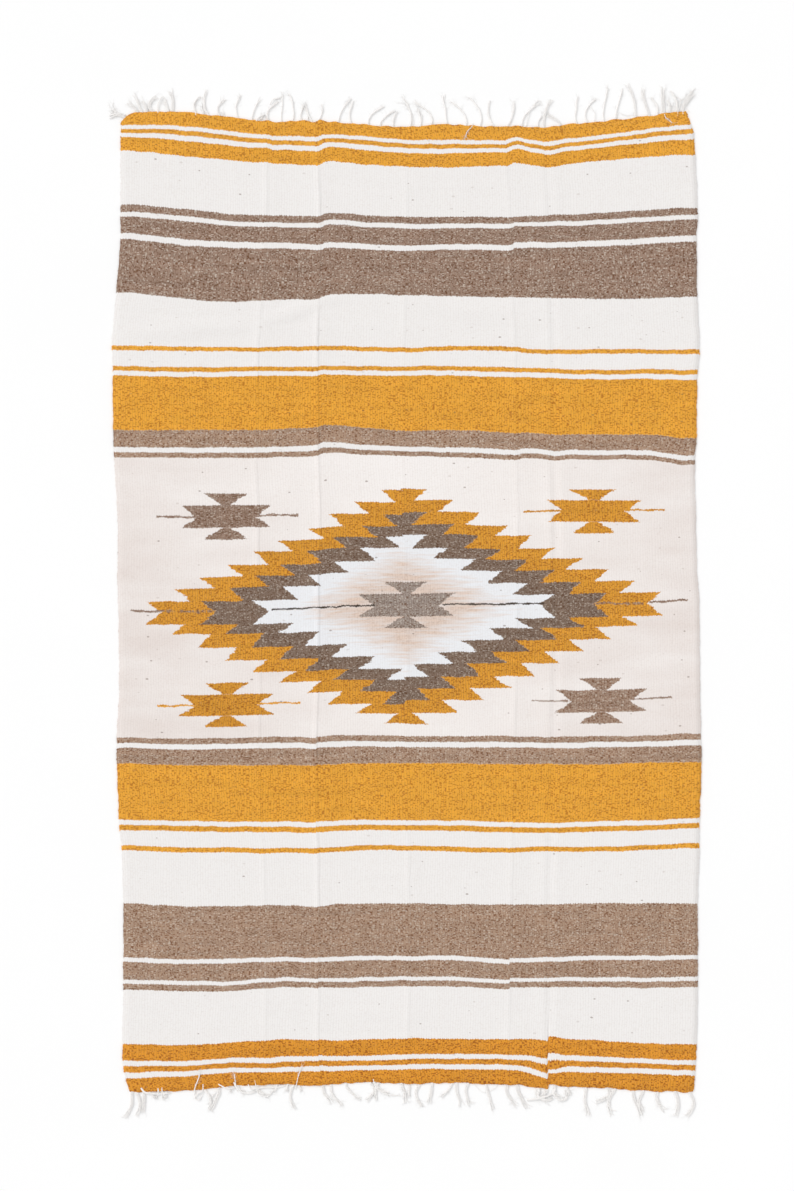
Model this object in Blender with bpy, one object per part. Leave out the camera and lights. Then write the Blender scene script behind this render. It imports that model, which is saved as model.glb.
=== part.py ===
"""A handwoven striped blanket, laid out flat, with a fringe of warp ends at its head and at its foot.

X runs across the blanket, Y along it towards the head end, and Z up from the surface it lies on. The
cloth is one wall of even thickness. Its outline follows the weft lines of a table, and it rises off the
surface where the packing folds and wrinkles run. The origin is under the middle of the whole blanket, on
the surface it lies on.
"""

import math
from collections import namedtuple

import bmesh
import bpy
from mathutils import Matrix, Vector

MM = 0.001

# Driving sizes, in metres
CLOTH_WIDTH = 1.200
CLOTH_THICKNESS = 0.003
HEADING_WIDTH = 0.007
SEAM_GAP = 0.00035
COLUMN_STEP = 0.060
ROW_STEP = 0.080
WRINKLED_ROW_STEP = 0.016
WRINKLED_FROM = 0.520
WRINKLED_TO = 0.690

# Weft lines from the foot end to the head end, in millimetres. along is the line's place at the middle of
# the blanket, left and right are where it meets the two selvedges, and rises tells how much nearer to the
# head end it lies, at each place of RISE_PLACES, than it does at the middle.
WeftLine = namedtuple("WeftLine", "along left right rises")
RISE_PLACES = (-575, -368, -190, 0, 190, 397, 573)
WEFT_LINES = (
    WeftLine(-994, -580, 592, (-17, -4, -2, 0, -2, -10, -17)),
    WeftLine(-901, -588, 595, (-12, -8, 0, 0, -2, -4, -12)),
    WeftLine(-794, -588, 598, (-6, -10, 0, 0, -2, -2, -2)),
    WeftLine(-622, -588, 600, (0, -6, -4, 0, -2, 0, 0)),
    WeftLine(-506, -594, 600, (4, 0, 0, 0, -2, 2, 8)),
    WeftLine(-276, -603, 605, (-2, -4, 0, 0, 0, 0, 4)),
    WeftLine(-7, -600, 602, (-10, -6, -2, 0, 3, 6, 12)),
    WeftLine(303, -607, 592, (-2, -4, 2, 0, -4, -8, -14)),
    WeftLine(355, -608, 594, (2, 2, 8, 0, -2, -8, -12)),
    WeftLine(469, -610, 599, (-2, -4, 0, 0, -4, -8, -10)),
    WeftLine(527, -612, 602, (4, 2, 4, 0, 4, -2, -4)),
    WeftLine(636, -602, 595, (6, -14, -6, 0, -4, -8, -4)),
    WeftLine(798, -596, 597, (23, 6, 4, 0, 2, 8, 17)),
    WeftLine(901, -594, 591, (35, 12, 4, 0, 4, 14, 25)),
    WeftLine(982, -594, 577, (31, 21, 19, 0, 4, 10, 39)),
)

# The head end's left corner is turned in: it drops by this much at the selvedge, and is back in line this
# far across and along.
TURNED_CORNER_DROP = 0.020
TURNED_CORNER_ACROSS = 0.042
TURNED_CORNER_ALONG = 0.060

# Packing folds that run the length of the blanket, in millimetres: where each lies across the cloth and how
# high it stands, at the foot end, the middle and the head end.
LongFold = namedtuple("LongFold", "foot middle head half_width rise_foot rise_middle rise_head")
LONG_FOLDS = (
    LongFold(-300, -302, -302, 14, 2.0, 2.5, 2.0),
    LongFold(-184, -183, -187, 16, 4.5, 5.0, 6.0),
    LongFold(-4, -4, -4, 12, 1.5, 1.5, 2.0),
    LongFold(214, 228, 205, 15, 4.0, 5.0, 5.0),
    LongFold(290, 302, 292, 12, 7.0, 3.0, 1.0),
)
FOLD_COLUMNS = (-1.0, -0.5, 0.0, 0.5, 1.0)

# Soft wrinkles across the wide bands below the head end, in millimetres: each runs straight between two
# points.
Wrinkle = namedtuple("Wrinkle", "from_across from_along to_across to_along half_width rise")
WRINKLES = (
    Wrinkle(-182, 652, 190, 655, 18, 4.0),
    Wrinkle(-560, 553, -300, 588, 26, 5.0),
    Wrinkle(-300, 588, -150, 632, 24, 6.0),
    Wrinkle(0, 626, 270, 580, 30, 3.0),
)

# Fringe strands from left to right, in millimetres: root is the place across the blanket, lean how far the
# tip lies to the right of it, reach how far it lies from the cloth's end, bow the swell to the right half
# way, girth the width, and fork how far apart the tips lie where the strand parts in two.
Strand = namedtuple("Strand", "root lean reach bow girth fork")
HEAD_STRANDS = (
    Strand(-588, -31, 18, 0, 6, 0),
    Strand(-561, -23, 23, 0, 6, 0),
    Strand(-552, -19, 41, -2, 5, 6),
    Strand(-543, -12, 27, 2, 5, 0),
    Strand(-528, 10, 35, -14, 6, 0),
    Strand(-497, -10, 25, -2, 3, 0),
    Strand(-490, -6, 50, 2, 6, 12),
    Strand(-439, 2, 33, -6, 3, 0),
    Strand(-424, -6, 21, 0, 3, 0),
    Strand(-414, -2, 58, -10, 5, 0),
    Strand(-391, 14, 39, -8, 5, 0),
    Strand(-379, -8, 12, 0, 3, 0),
    Strand(-354, 8, 54, -6, 4, 0),
    Strand(-325, 19, 46, -2, 4, 0),
    Strand(-310, 12, 14, 0, 3, 0),
    Strand(-290, 25, 43, -10, 5, 0),
    Strand(-263, 4, 66, 0, 3, 0),
    Strand(-240, -10, 62, 6, 4, 0),
    Strand(-221, 6, 37, -4, 4, 0),
    Strand(-209, -6, 39, 2, 3, 0),
    Strand(-199, -17, 37, -2, 4, 0),
    Strand(-188, 8, 39, 6, 3, 0),
    Strand(-145, 29, 52, -4, 5, 0),
    Strand(-118, 4, 50, -4, 5, 0),
    Strand(-83, 37, 41, -8, 4, 0),
    Strand(-58, 35, 37, -6, 4, 0),
    Strand(-31, 10, 35, -4, 4, 0),
    Strand(4, -17, 66, 6, 4, 0),
    Strand(25, -6, 41, 2, 4, 0),
    Strand(48, -41, 54, 10, 5, 0),
    Strand(81, -8, 66, -2, 4, 8),
    Strand(120, -39, 56, 10, 4, 0),
    Strand(149, -29, 68, 10, 5, 0),
    Strand(180, -10, 58, -10, 4, 0),
    Strand(205, 12, 58, 8, 5, 0),
    Strand(236, 37, 52, -6, 4, 0),
    Strand(269, 12, 29, -2, 4, 0),
    Strand(281, 17, 62, -4, 6, 0),
    Strand(314, -29, 25, 8, 6, 0),
    Strand(350, 4, 62, -4, 4, 0),
    Strand(374, 17, 52, -12, 4, 0),
    Strand(406, 10, 79, -2, 4, 0),
    Strand(430, 17, 70, 0, 4, 0),
    Strand(472, -19, 72, 4, 4, 0),
    Strand(501, -12, 64, -6, 5, 8),
    Strand(517, -14, 41, 4, 3, 0),
    Strand(530, 0, 60, 0, 6, 12),
    Strand(542, -4, 29, 2, 3, 0),
    Strand(557, -12, 48, 4, 3, 0),
    Strand(568, 27, 46, 0, 7, 0),
)
FOOT_STRANDS = (
    Strand(-574, -17, 60, 4, 5, 12),
    Strand(-565, -2, 52, 8, 5, 0),
    Strand(-550, -2, 48, 2, 6, 0),
    Strand(-538, 14, 15, 0, 3, 0),
    Strand(-511, 10, 17, 0, 3, 0),
    Strand(-424, 6, 48, 12, 4, 0),
    Strand(-393, -19, 50, 2, 5, 0),
    Strand(-377, 12, 14, 0, 3, 0),
    Strand(-354, 17, 19, -4, 6, 0),
    Strand(-312, 25, 25, -8, 4, 0),
    Strand(-273, -8, 19, 2, 3, 0),
    Strand(-250, -4, 19, 0, 3, 0),
    Strand(-238, 4, 54, -8, 4, 0),
    Strand(-226, 6, 14, 0, 3, 0),
    Strand(-178, 23, 41, -4, 6, 0),
    Strand(-161, 29, 48, -6, 4, 0),
    Strand(-130, 37, 39, -6, 4, 0),
    Strand(-81, -8, 41, 12, 4, 0),
    Strand(-70, 4, 43, 2, 3, 0),
    Strand(-60, 25, 27, -10, 4, 0),
    Strand(-14, 10, 46, 2, 6, 0),
    Strand(0, 2, 29, 2, 3, 0),
    Strand(25, 10, 50, -12, 4, 0),
    Strand(50, -8, 50, 0, 6, 0),
    Strand(92, -25, 31, 0, 3, 0),
    Strand(101, 12, 52, -2, 6, 8),
    Strand(126, 6, 50, -8, 4, 12),
    Strand(161, 19, 58, 0, 4, 0),
    Strand(207, 23, 48, -8, 4, 0),
    Strand(226, 25, 54, -2, 6, 10),
    Strand(271, 19, 31, -10, 5, 0),
    Strand(290, -14, 21, 0, 5, 0),
    Strand(308, 17, 33, -10, 5, 0),
    Strand(327, 10, 21, 2, 3, 0),
    Strand(370, 6, 64, -4, 5, 0),
    Strand(412, -29, 35, 8, 7, 0),
    Strand(432, -4, 58, -14, 4, 20),
    Strand(468, 19, 58, -2, 4, 0),
    Strand(490, 2, 52, -10, 5, 6),
    Strand(519, 19, 43, -8, 6, 0),
    Strand(554, 0, 56, 8, 6, 6),
    Strand(584, -10, 56, 12, 4, 0),
)

# Sizes of a strand, in metres: its height at root and tip, the space under it, how near two strands may lie,
# and how near to a root the heading may have another corner.
STRAND_FLOOR_GAP = 0.0004
STRAND_HEIGHT = 0.0022
STRAND_TIP_HEIGHT = 0.0014
STRAND_SPACE = 0.0010
ROOT_CLEAR = 0.0002
HEADING_CHAMFER = 0.0004

# How a strand is drawn: its rings, how much of it is forked, how much narrower it is at its top and its tip,
# how its lean grows towards the tip, the steepest lean for its reach, and the steps in which it is
# straightened until it clears its neighbours.
STRAND_RINGS = 5
FORK_RINGS = 2
FORK_SHARE = 0.35
STRAND_TOP_SHARE = 0.6
STRAND_TIP_SHARE = 0.6
LEAN_BEND = 1.4
STEEPEST_LEAN = 0.9
STRAND_EASES = (1.0, 0.85, 0.7, 0.55, 0.4, 0.25, 0.1, 0.0)

# The heading's outer side, which the strands grow from, counted round its cross-section, and the angle in
# degrees from which an edge is drawn sharp.
OUTER_SIDE = 2
SHARP_ANGLE = 50

# Base colour and roughness of each finish
CREAM_WOOL = ((0.82, 0.74, 0.66, 1.0), 0.95)
OFF_WHITE_COTTON = ((0.86, 0.83, 0.78, 1.0), 0.9)


def clear_scene():
    """Remove whatever the file opened with."""
    for obj in list(bpy.data.objects):
        bpy.data.objects.remove(obj, do_unlink=True)


def make_material(name, finish):
    """A plain cloth finish with this base colour and roughness."""
    colour, roughness = finish
    material = bpy.data.materials.new(name)
    material.use_nodes = True
    shader = material.node_tree.nodes["Principled BSDF"]
    shader.inputs["Base Color"].default_value = colour
    shader.inputs["Roughness"].default_value = roughness
    shader.inputs["Metallic"].default_value = 0.0
    return material


def slope_at(places, values, index):
    """Slope of the smooth curve through the values at one of its places."""
    before = max(index - 1, 0)
    after = min(index + 1, len(places) - 1)
    return (values[after] - values[before]) / (places[after] - places[before])


def smooth_value(places, values, at):
    """Value at one place on the smooth curve through the values, held level past both of its ends."""
    if at <= places[0]:
        return values[0]
    if at >= places[-1]:
        return values[-1]
    right = next(index for index, place in enumerate(places) if place > at)
    left = right - 1
    span = places[right] - places[left]
    t = (at - places[left]) / span
    start_slope = slope_at(places, values, left) * span
    end_slope = slope_at(places, values, right) * span
    change = values[right] - values[left]
    bend = start_slope + end_slope - 2 * change
    return values[left] + t * (start_slope + t * (change - start_slope - bend + t * bend))


def bump(distance, half_width):
    """A soft ridge's height, as a share of its rise, at this distance from its top line."""
    ratio = distance / half_width
    return (1 - ratio * ratio) ** 2 if ratio < 1 else 0.0


def fold_place(fold, along):
    """Where a long fold lies across the cloth at this place along it."""
    ends = (WEFT_LINES[0].along * MM, 0.0, WEFT_LINES[-1].along * MM)
    return smooth_value(ends, (fold.foot * MM, fold.middle * MM, fold.head * MM), along)


def fold_rise(fold, along):
    """How high a long fold stands at this place along it."""
    ends = (WEFT_LINES[0].along * MM, 0.0, WEFT_LINES[-1].along * MM)
    return smooth_value(ends, (fold.rise_foot * MM, fold.rise_middle * MM, fold.rise_head * MM), along)


def wrinkle_distance(wrinkle, across, along):
    """Distance from a point of the cloth to a wrinkle's top line."""
    start = Vector((wrinkle.from_across * MM, wrinkle.from_along * MM))
    run = Vector((wrinkle.to_across * MM, wrinkle.to_along * MM)) - start
    point = Vector((across, along)) - start
    share = min(max(point.dot(run) / run.length_squared, 0.0), 1.0)
    return (point - share * run).length


def lift(across, along):
    """Height of the cloth's underside above the surface: zero but for the folds and wrinkles."""
    heights = [
        fold_rise(fold, along) * bump(abs(across - fold_place(fold, along)), fold.half_width * MM)
        for fold in LONG_FOLDS
    ]
    heights += [
        wrinkle.rise * MM * bump(wrinkle_distance(wrinkle, across, along), wrinkle.half_width * MM)
        for wrinkle in WRINKLES
    ]
    return math.hypot(*heights)


def corner_drop(across, along):
    """How far the turned-in corner at the head end's left lies below the line of that end."""
    from_side = (across + CLOTH_WIDTH / 2) / TURNED_CORNER_ACROSS
    from_end = (WEFT_LINES[-1].along * MM - along) / TURNED_CORNER_ALONG
    return TURNED_CORNER_DROP * max(1 - from_side, 0.0) * max(1 - from_end, 0.0)


def on_surface(across, along):
    """Where a point of the cloth's underside lies: across from the middle, along towards the head."""
    lines = [line.along * MM for line in WEFT_LINES]
    left = smooth_value(lines, [line.left * MM for line in WEFT_LINES], along)
    right = smooth_value(lines, [line.right * MM for line in WEFT_LINES], along)
    places = [place * MM for place in RISE_PLACES]
    rises = [
        smooth_value(lines, [line.rises[index] * MM for line in WEFT_LINES], along)
        for index in range(len(RISE_PLACES))
    ]
    x = left + (right - left) * (across / CLOTH_WIDTH + 0.5)
    y = along + smooth_value(places, rises, across) - corner_drop(across, along)
    return Vector((x, y, lift(across, along)))


def spread(start, end, step):
    """Places from start up to, but not with, end, evenly spaced and no further apart than step."""
    count = max(math.ceil(abs(end - start) / step), 1)
    return [start + (end - start) * index / count for index in range(count)]


def column_marks(along):
    """Both selvedges and the columns over each long fold, left to right."""
    marks = [-CLOTH_WIDTH / 2]
    for fold in LONG_FOLDS:
        marks += [fold_place(fold, along) + share * fold.half_width * MM for share in FOLD_COLUMNS]
    return marks + [CLOTH_WIDTH / 2]


def column_places(along):
    """Places across the cloth of its columns at this weft line, close together over the folds."""
    level = column_marks(0.0)
    marks = column_marks(along)
    places = []
    for index in range(len(marks) - 1):
        count = len(spread(level[index], level[index + 1], COLUMN_STEP))
        width = marks[index + 1] - marks[index]
        places += [marks[index] + width * part / count for part in range(count)]
    return places + [marks[-1]]


def row_places():
    """Places along the cloth of its rows, from foot to head, close together over the wrinkles."""
    foot = WEFT_LINES[0].along * MM + HEADING_WIDTH + SEAM_GAP
    head = WEFT_LINES[-1].along * MM - HEADING_WIDTH - SEAM_GAP
    rows = spread(foot, WRINKLED_FROM, ROW_STEP)
    rows += spread(WRINKLED_FROM, WRINKLED_TO, WRINKLED_ROW_STEP)
    rows += spread(WRINKLED_TO, head, ROW_STEP)
    return rows + [head]


def finish_object(name, bm, material):
    """Face a mesh outwards, cut it into triangles and put it in the scene as one object."""
    bmesh.ops.recalc_face_normals(bm, faces=bm.faces)
    bmesh.ops.triangulate(bm, faces=bm.faces)
    mesh = bpy.data.meshes.new(name)
    bm.to_mesh(mesh)
    bm.free()
    mesh.shade_smooth()
    mesh.set_sharp_from_angle(angle=math.radians(SHARP_ANGLE))
    mesh.materials.append(material)
    obj = bpy.data.objects.new(name, mesh)
    bpy.context.scene.collection.objects.link(obj)
    return obj


def make_cloth(material):
    """The woven panel: an even wall over the surface's folds, given with its end lines, foot and head."""
    grid = []
    for along in row_places():
        grid.append([on_surface(across, along) for across in column_places(along)])
    bm = bmesh.new()
    up = Vector((0, 0, CLOTH_THICKNESS))
    under = [[bm.verts.new(point) for point in row] for row in grid]
    over = [[bm.verts.new(point + up) for point in row] for row in grid]
    for lower, upper in zip(range(len(grid) - 1), range(1, len(grid))):
        for left, right in zip(range(len(grid[0]) - 1), range(1, len(grid[0]))):
            for side in (under, over):
                low = (side[lower][left], side[lower][right])
                bm.faces.new(low + (side[upper][right], side[upper][left]))
    rim = [(row, 0) for row in range(len(grid))]
    rim += [(len(grid) - 1, column) for column in range(1, len(grid[0]))]
    rim += [(row, len(grid[0]) - 1) for row in range(len(grid) - 2, -1, -1)]
    rim += [(0, column) for column in range(len(grid[0]) - 2, 0, -1)]
    for here, there in zip(rim, rim[1:] + rim[:1]):
        low = (under[here[0]][here[1]], under[there[0]][there[1]])
        high = (over[there[0]][there[1]], over[here[0]][here[1]])
        bm.faces.new(low + high)
    return finish_object("woven_cloth", bm, material), grid[0], grid[-1]


def edge_point(edge, x):
    """Point of the cloth's end line at this place across the blanket."""
    right = next((index for index in range(1, len(edge)) if edge[index].x >= x), len(edge) - 1)
    start = edge[right - 1]
    share = (x - start.x) / (edge[right].x - start.x)
    return start.lerp(edge[right], share)


def strand_line(strand, root, outward, ease):
    """Middle line of a strand, from its root to its tip, seen from above. ease of 0 leaves it straight."""
    steepest = STEEPEST_LEAN * strand.reach
    lean = min(max(strand.lean, -steepest), steepest) * ease * MM
    line = []
    for ring in range(STRAND_RINGS + 1):
        t = ring / STRAND_RINGS
        aside = lean * t ** LEAN_BEND + strand.bow * ease * MM * math.sin(math.pi * t)
        line.append(root + Vector((aside, outward * strand.reach * MM * t)))
    return line


def lines_clear(line, girth, others):
    """Whether a strand's middle line keeps its distance from the strands already laid."""
    for other, other_girth in others:
        space = (girth + other_girth) / 2 + STRAND_SPACE
        for point in line[1:]:
            for start, end in zip(other, other[1:]):
                run = end - start
                share = min(max((point - start).dot(run) / run.length_squared, 0.0), 1.0)
                if (point - start - share * run).length < space:
                    return False
    return True


def lay_strands(strands, edge, outward):
    """Middle line of every strand, each eased towards straight until it clears those on its left."""
    laid = []
    for strand in strands:
        root = edge_point(edge, strand.root * MM).to_2d()
        root.y += outward * (SEAM_GAP + HEADING_WIDTH)
        girth = (strand.girth + strand.fork) * MM
        for ease in STRAND_EASES:
            line = strand_line(strand, root, outward, ease)
            if lines_clear(line, girth, laid):
                break
        laid.append((line, girth))
    return [line for line, girth in laid]


def strand_ring(bm, centre, travel, width, height, outward):
    """Four corners of a strand's cross-section: low left, low right, high right and high left."""
    side = Vector((travel.y, -travel.x)).normalized() * outward
    low = STRAND_FLOOR_GAP
    corners = []
    for share, z in ((-0.5, low), (0.5, low), (0.5 * STRAND_TOP_SHARE, low + height)):
        corners.append(Vector((*(centre + side * share * width), z)))
    corners.append(Vector((*(centre - side * 0.5 * STRAND_TOP_SHARE * width), low + height)))
    return [bm.verts.new(corner) for corner in corners]


def join_rings(bm, ring, after):
    """Sides between two cross-sections of a strand."""
    for index in range(len(ring)):
        following = (index + 1) % len(ring)
        bm.faces.new((ring[index], ring[following], after[following], after[index]))


def grow_strand(bm, ring, line, width, outward):
    """Carry a strand on from one cross-section along a line, and close its tip."""
    for index in range(1, len(line)):
        share = index / (len(line) - 1)
        travel = line[min(index + 1, len(line) - 1)] - line[index - 1]
        height = STRAND_HEIGHT + (STRAND_TIP_HEIGHT - STRAND_HEIGHT) * share
        girth = width * (1 + (STRAND_TIP_SHARE - 1) * share)
        after = strand_ring(bm, line[index], travel, girth, height, outward)
        join_rings(bm, ring, after)
        ring = after
    bm.faces.new(ring)


def split_ring(bm, ring, after):
    """Sides from one cross-section to the next, which is parted down its middle for a fork."""
    low_middle = bm.verts.new((after[0].co + after[1].co) / 2)
    high_middle = bm.verts.new((after[2].co + after[3].co) / 2)
    bm.faces.new((ring[0], ring[1], after[1], low_middle, after[0]))
    bm.faces.new((ring[1], ring[2], after[2], after[1]))
    bm.faces.new((ring[2], ring[3], after[3], high_middle, after[2]))
    bm.faces.new((ring[3], ring[0], after[0], after[3]))
    return (after[0], low_middle, high_middle, after[3]), (low_middle, after[1], after[2], high_middle)


def grow_forked_strand(bm, ring, line, strand, outward):
    """A strand whose tip parts in two."""
    parted = round(STRAND_RINGS * (1 - FORK_SHARE))
    width = strand.girth * MM
    for index in range(1, parted):
        travel = line[index + 1] - line[index - 1]
        after = strand_ring(bm, line[index], travel, width, STRAND_HEIGHT, outward)
        join_rings(bm, ring, after)
        ring = after
    travel = line[parted + 1] - line[parted - 1]
    after = strand_ring(bm, line[parted], travel, width, STRAND_HEIGHT, outward)
    halves = split_ring(bm, ring, after)
    tip_travel = (line[-1] - line[parted]).normalized()
    aside = Vector((tip_travel.y, -tip_travel.x)) * outward
    for half, direction in zip(halves, (-1, 1)):
        start = line[parted] + aside * direction * width / 4
        end = line[-1] + aside * direction * strand.fork * MM / 2
        branch = [start.lerp(end, step / FORK_RINGS) for step in range(FORK_RINGS + 1)]
        grow_strand(bm, half, branch, width / 2, outward)


def heading_ring(bm, edge, x, outward):
    """Six corners of the heading's cross-section at one place across, from its inner lower edge round."""
    point = edge_point(edge, x)
    inner = SEAM_GAP
    outer = SEAM_GAP + HEADING_WIDTH
    profile = (
        (inner, 0.0),
        (outer - HEADING_CHAMFER, 0.0),
        (outer, STRAND_FLOOR_GAP),
        (outer, STRAND_FLOOR_GAP + STRAND_HEIGHT),
        (outer - HEADING_CHAMFER, CLOTH_THICKNESS),
        (inner, CLOTH_THICKNESS),
    )
    corners = [Vector((x, point.y + outward * out, point.z + up)) for out, up in profile]
    return [bm.verts.new(corner) for corner in corners]


def heading_stations(edge, strands):
    """Places across the heading, left to right, each with the number of its strand, or None."""
    stations = [(edge[0].x, None), (edge[-1].x, None)]
    for point in edge[1:-1]:
        off_root = [abs(point.x - strand.root * MM) - strand.girth * MM / 2 for strand in strands]
        if min(off_root) > ROOT_CLEAR:
            stations.append((point.x, None))
    for number, strand in enumerate(strands):
        stations.append(((strand.root - strand.girth / 2) * MM, number))
        stations.append(((strand.root + strand.girth / 2) * MM, None))
    return sorted(stations, key=lambda station: station[0])


def make_fringe(name, edge, outward, strands, material):
    """The last picks of one end as a narrow strip beside the cloth, with the warp strands fused into it."""
    bm = bmesh.new()
    lines = lay_strands(strands, edge, outward)
    stations = heading_stations(edge, strands)
    rings = [heading_ring(bm, edge, x, outward) for x, number in stations]
    for index in range(len(rings) - 1):
        here, there = rings[index], rings[index + 1]
        number = stations[index][1]
        for side in range(len(here)):
            if side == OUTER_SIDE and number is not None:
                continue
            following = (side + 1) % len(here)
            bm.faces.new((here[side], here[following], there[following], there[side]))
        if number is None:
            continue
        above = OUTER_SIDE + 1
        root = (here[OUTER_SIDE], there[OUTER_SIDE], there[above], here[above])
        strand = strands[number]
        if strand.fork:
            grow_forked_strand(bm, root, lines[number], strand, outward)
        else:
            grow_strand(bm, root, lines[number], strand.girth * MM, outward)
    bm.faces.new(rings[0])
    bm.faces.new(rings[-1])
    return finish_object(name, bm, material)


def centre_on_origin(objects):
    """Move the whole blanket so that the origin lies under its middle."""
    points = [vertex.co for obj in objects for vertex in obj.data.vertices]
    middle_x = (min(point.x for point in points) + max(point.x for point in points)) / 2
    middle_y = (min(point.y for point in points) + max(point.y for point in points)) / 2
    for obj in objects:
        obj.data.transform(Matrix.Translation((-middle_x, -middle_y, 0)))


def main():
    clear_scene()
    wool = make_material("cream_wool", CREAM_WOOL)
    cotton = make_material("off_white_cotton", OFF_WHITE_COTTON)
    cloth, foot_edge, head_edge = make_cloth(wool)
    head = make_fringe("head_fringe", head_edge, 1, HEAD_STRANDS, cotton)
    foot = make_fringe("foot_fringe", foot_edge, -1, FOOT_STRANDS, cotton)
    centre_on_origin([cloth, head, foot])


main()
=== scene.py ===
"""A handwoven striped blanket with a stepped diamond, laid out flat with its loose warp ends."""

import math
import random
from collections import namedtuple
from functools import lru_cache, partialmethod

import bpy
from bpy.props import FloatProperty, FloatVectorProperty, IntProperty, PointerProperty
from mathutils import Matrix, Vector, noise


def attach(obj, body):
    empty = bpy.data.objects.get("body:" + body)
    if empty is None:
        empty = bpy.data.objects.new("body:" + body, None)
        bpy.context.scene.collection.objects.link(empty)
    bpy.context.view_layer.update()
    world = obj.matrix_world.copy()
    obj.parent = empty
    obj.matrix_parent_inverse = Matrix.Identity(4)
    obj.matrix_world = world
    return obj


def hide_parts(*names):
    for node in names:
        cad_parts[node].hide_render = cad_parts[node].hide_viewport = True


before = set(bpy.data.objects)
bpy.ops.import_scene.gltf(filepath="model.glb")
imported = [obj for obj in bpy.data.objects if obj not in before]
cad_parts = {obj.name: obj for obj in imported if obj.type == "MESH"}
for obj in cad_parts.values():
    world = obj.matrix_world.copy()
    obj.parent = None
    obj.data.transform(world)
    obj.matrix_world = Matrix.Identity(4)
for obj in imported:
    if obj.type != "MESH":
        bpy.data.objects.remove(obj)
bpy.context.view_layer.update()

bl_info = {
    "name": "Handwoven Striped Blanket",
    "version": (1, 0, 0),
    "blender": (4, 5, 0),
    "location": "View3D > Sidebar > Blanket",
    "description": "Weaves a striped blanket with a stepped diamond and loose warp ends",
    "category": "Add Mesh",
}



def rows_of(kind, rows):
    """A table's rows, each with its columns by name."""
    return tuple(kind(*row) for row in rows)


MM = 0.001
BODY = "root"

# Cloth, in metres
LOOM_WIDTH = 1.200
CLOTH_THICKNESS = 0.003
COLUMN_STEP = 0.011
ROW_STEP = 0.0085
WRINKLED_ROW_STEP = 0.005
WRINKLED_FROM = 0.520
WRINKLED_TO = 0.690

# From the weft table's zero to the frame's origin, in metres
SHIFT = Vector((0.0036, -0.0024, 0.0))

# Weft lines from the foot end to the head end, in millimetres. along is the line's place at the middle of the
# blanket, left and right are where it meets the selvedges, and rises tells how much nearer to the head end it
# lies, at each place of RISE_PLACES, than at the middle.
WeftLine = namedtuple("WeftLine", "along left right rises")
RISE_PLACES = (-575, -472, -368, -306, -190, -161, -99, 0, 87, 190, 294, 397, 501, 573)
WEFT_LINES = rows_of(WeftLine, (
    (-994, -578, 592, (-17, -14, -4, -2, -1, 0, 3, 0, 2, -1, -5, -8, -14, -17)),
    (-965, -585, 594, (-19, -14, -6, -6, -2, -4, -2, 0, 0, 0, -3, -7, -10, -12)),
    (-944, -591, 596, (-14, -14, -7, -8, -1, -3, -3, 0, 1, 0, -2, -5, -9, -12)),
    (-901, -592, 598, (-12, -14, -8, -4, 0, -4, -2, 0, 0, -2, 0, -4, -10, -12)),
    (-782, -590, 600, (-7, -10, -10, -4, -1, -3, -2, 0, -1, -4, -2, -2, -3, -1)),
    (-736, -590, 600, (-3, -7, -5, -3, -1, -2, 1, 0, 1, -5, -2, 1, 1, 2)),
    (-622, -590, 600, (0, -6, -6, -4, -4, -2, 0, 0, -2, -2, -2, 0, 0, 0)),
    (-507, -594, 604, (0, -5, -4, -6, -4, -4, 0, 0, -2, -5, -2, -3, 1, 5)),
    (-460, -598, 604, (1, -1, -3, -3, -2, -1, 1, 0, -1, -4, -6, -2, 0, 4)),
    (-332, -603, 608, (0, -4, -4, -4, -2, -2, 0, 0, 0, -2, -2, -2, 2, 2)),
    (-288, -604, 607, (-2, -5, -4, -2, 0, 1, 2, 0, 0, 0, -2, 0, 1, 5)),
    (-181, -599, 605, (-6, -8, -6, -5, -2, 0, 1, 0, 0, 1, 0, 1, 4, 7)),
    (-5, -600, 603, (-12, -11, -11, -10, -6, -4, -1, 0, 1, 2, 3, 6, 8, 11)),
    (60, -602, 599, (-12, -13, -10, -8, -7, -3, -1, 0, 2, 0, 2, 4, 5, 5)),
    (179, -602, 596, (-8, -9, -8, -7, -4, 1, 1, 0, 2, -2, 0, 0, -1, -2)),
    (313, -610, 594, (-2, -3, -3, -3, 2, 8, 4, 0, -2, -5, -6, -8, -8, -19)),
    (355, -611, 598, (2, 2, 2, 2, 8, 12, 8, 0, 2, -2, -6, -8, -8, -15)),
    (478, -612, 599, (1, -2, -2, 0, 0, 2, 1, 0, 1, -2, -4, -7, -6, -8)),
    (522, -614, 604, (4, 3, 2, 1, 4, 4, 3, 0, 3, 3, -4, -3, -3, -4)),
    (575, -611, 602, (5, 0, -6, -6, -1, 2, 2, 0, 0, 0, -5, -6, -5, -4)),
    (636, -604, 599, (6, -6, -14, -12, -6, 0, 2, 0, -2, -4, -6, -8, -6, -4)),
    (732, -596, 598, (25, 13, 7, 6, 5, 8, 4, 0, 3, 3, 6, 10, 16, 20)),
    (784, -596, 600, (26, 17, 6, 4, 4, 9, 5, 0, 1, 1, 4, 8, 15, 19)),
    (916, -596, 594, (34, 24, 14, 9, 6, 12, 6, 0, -1, 3, 2, 12, 21, 26)),
    (949, -595, 590, (31, 28, 17, 10, 7, 12, 8, 0, -1, -1, -1, 8, 21, 30)),
    (982, -594, 577, (32, 30, 20, 12, 14, 11, 7, 0, 5, 1, 2, 10, 20, 32)),
))
FOOT_END = WEFT_LINES[0].along * MM
HEAD_END = WEFT_LINES[-1].along * MM

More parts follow.
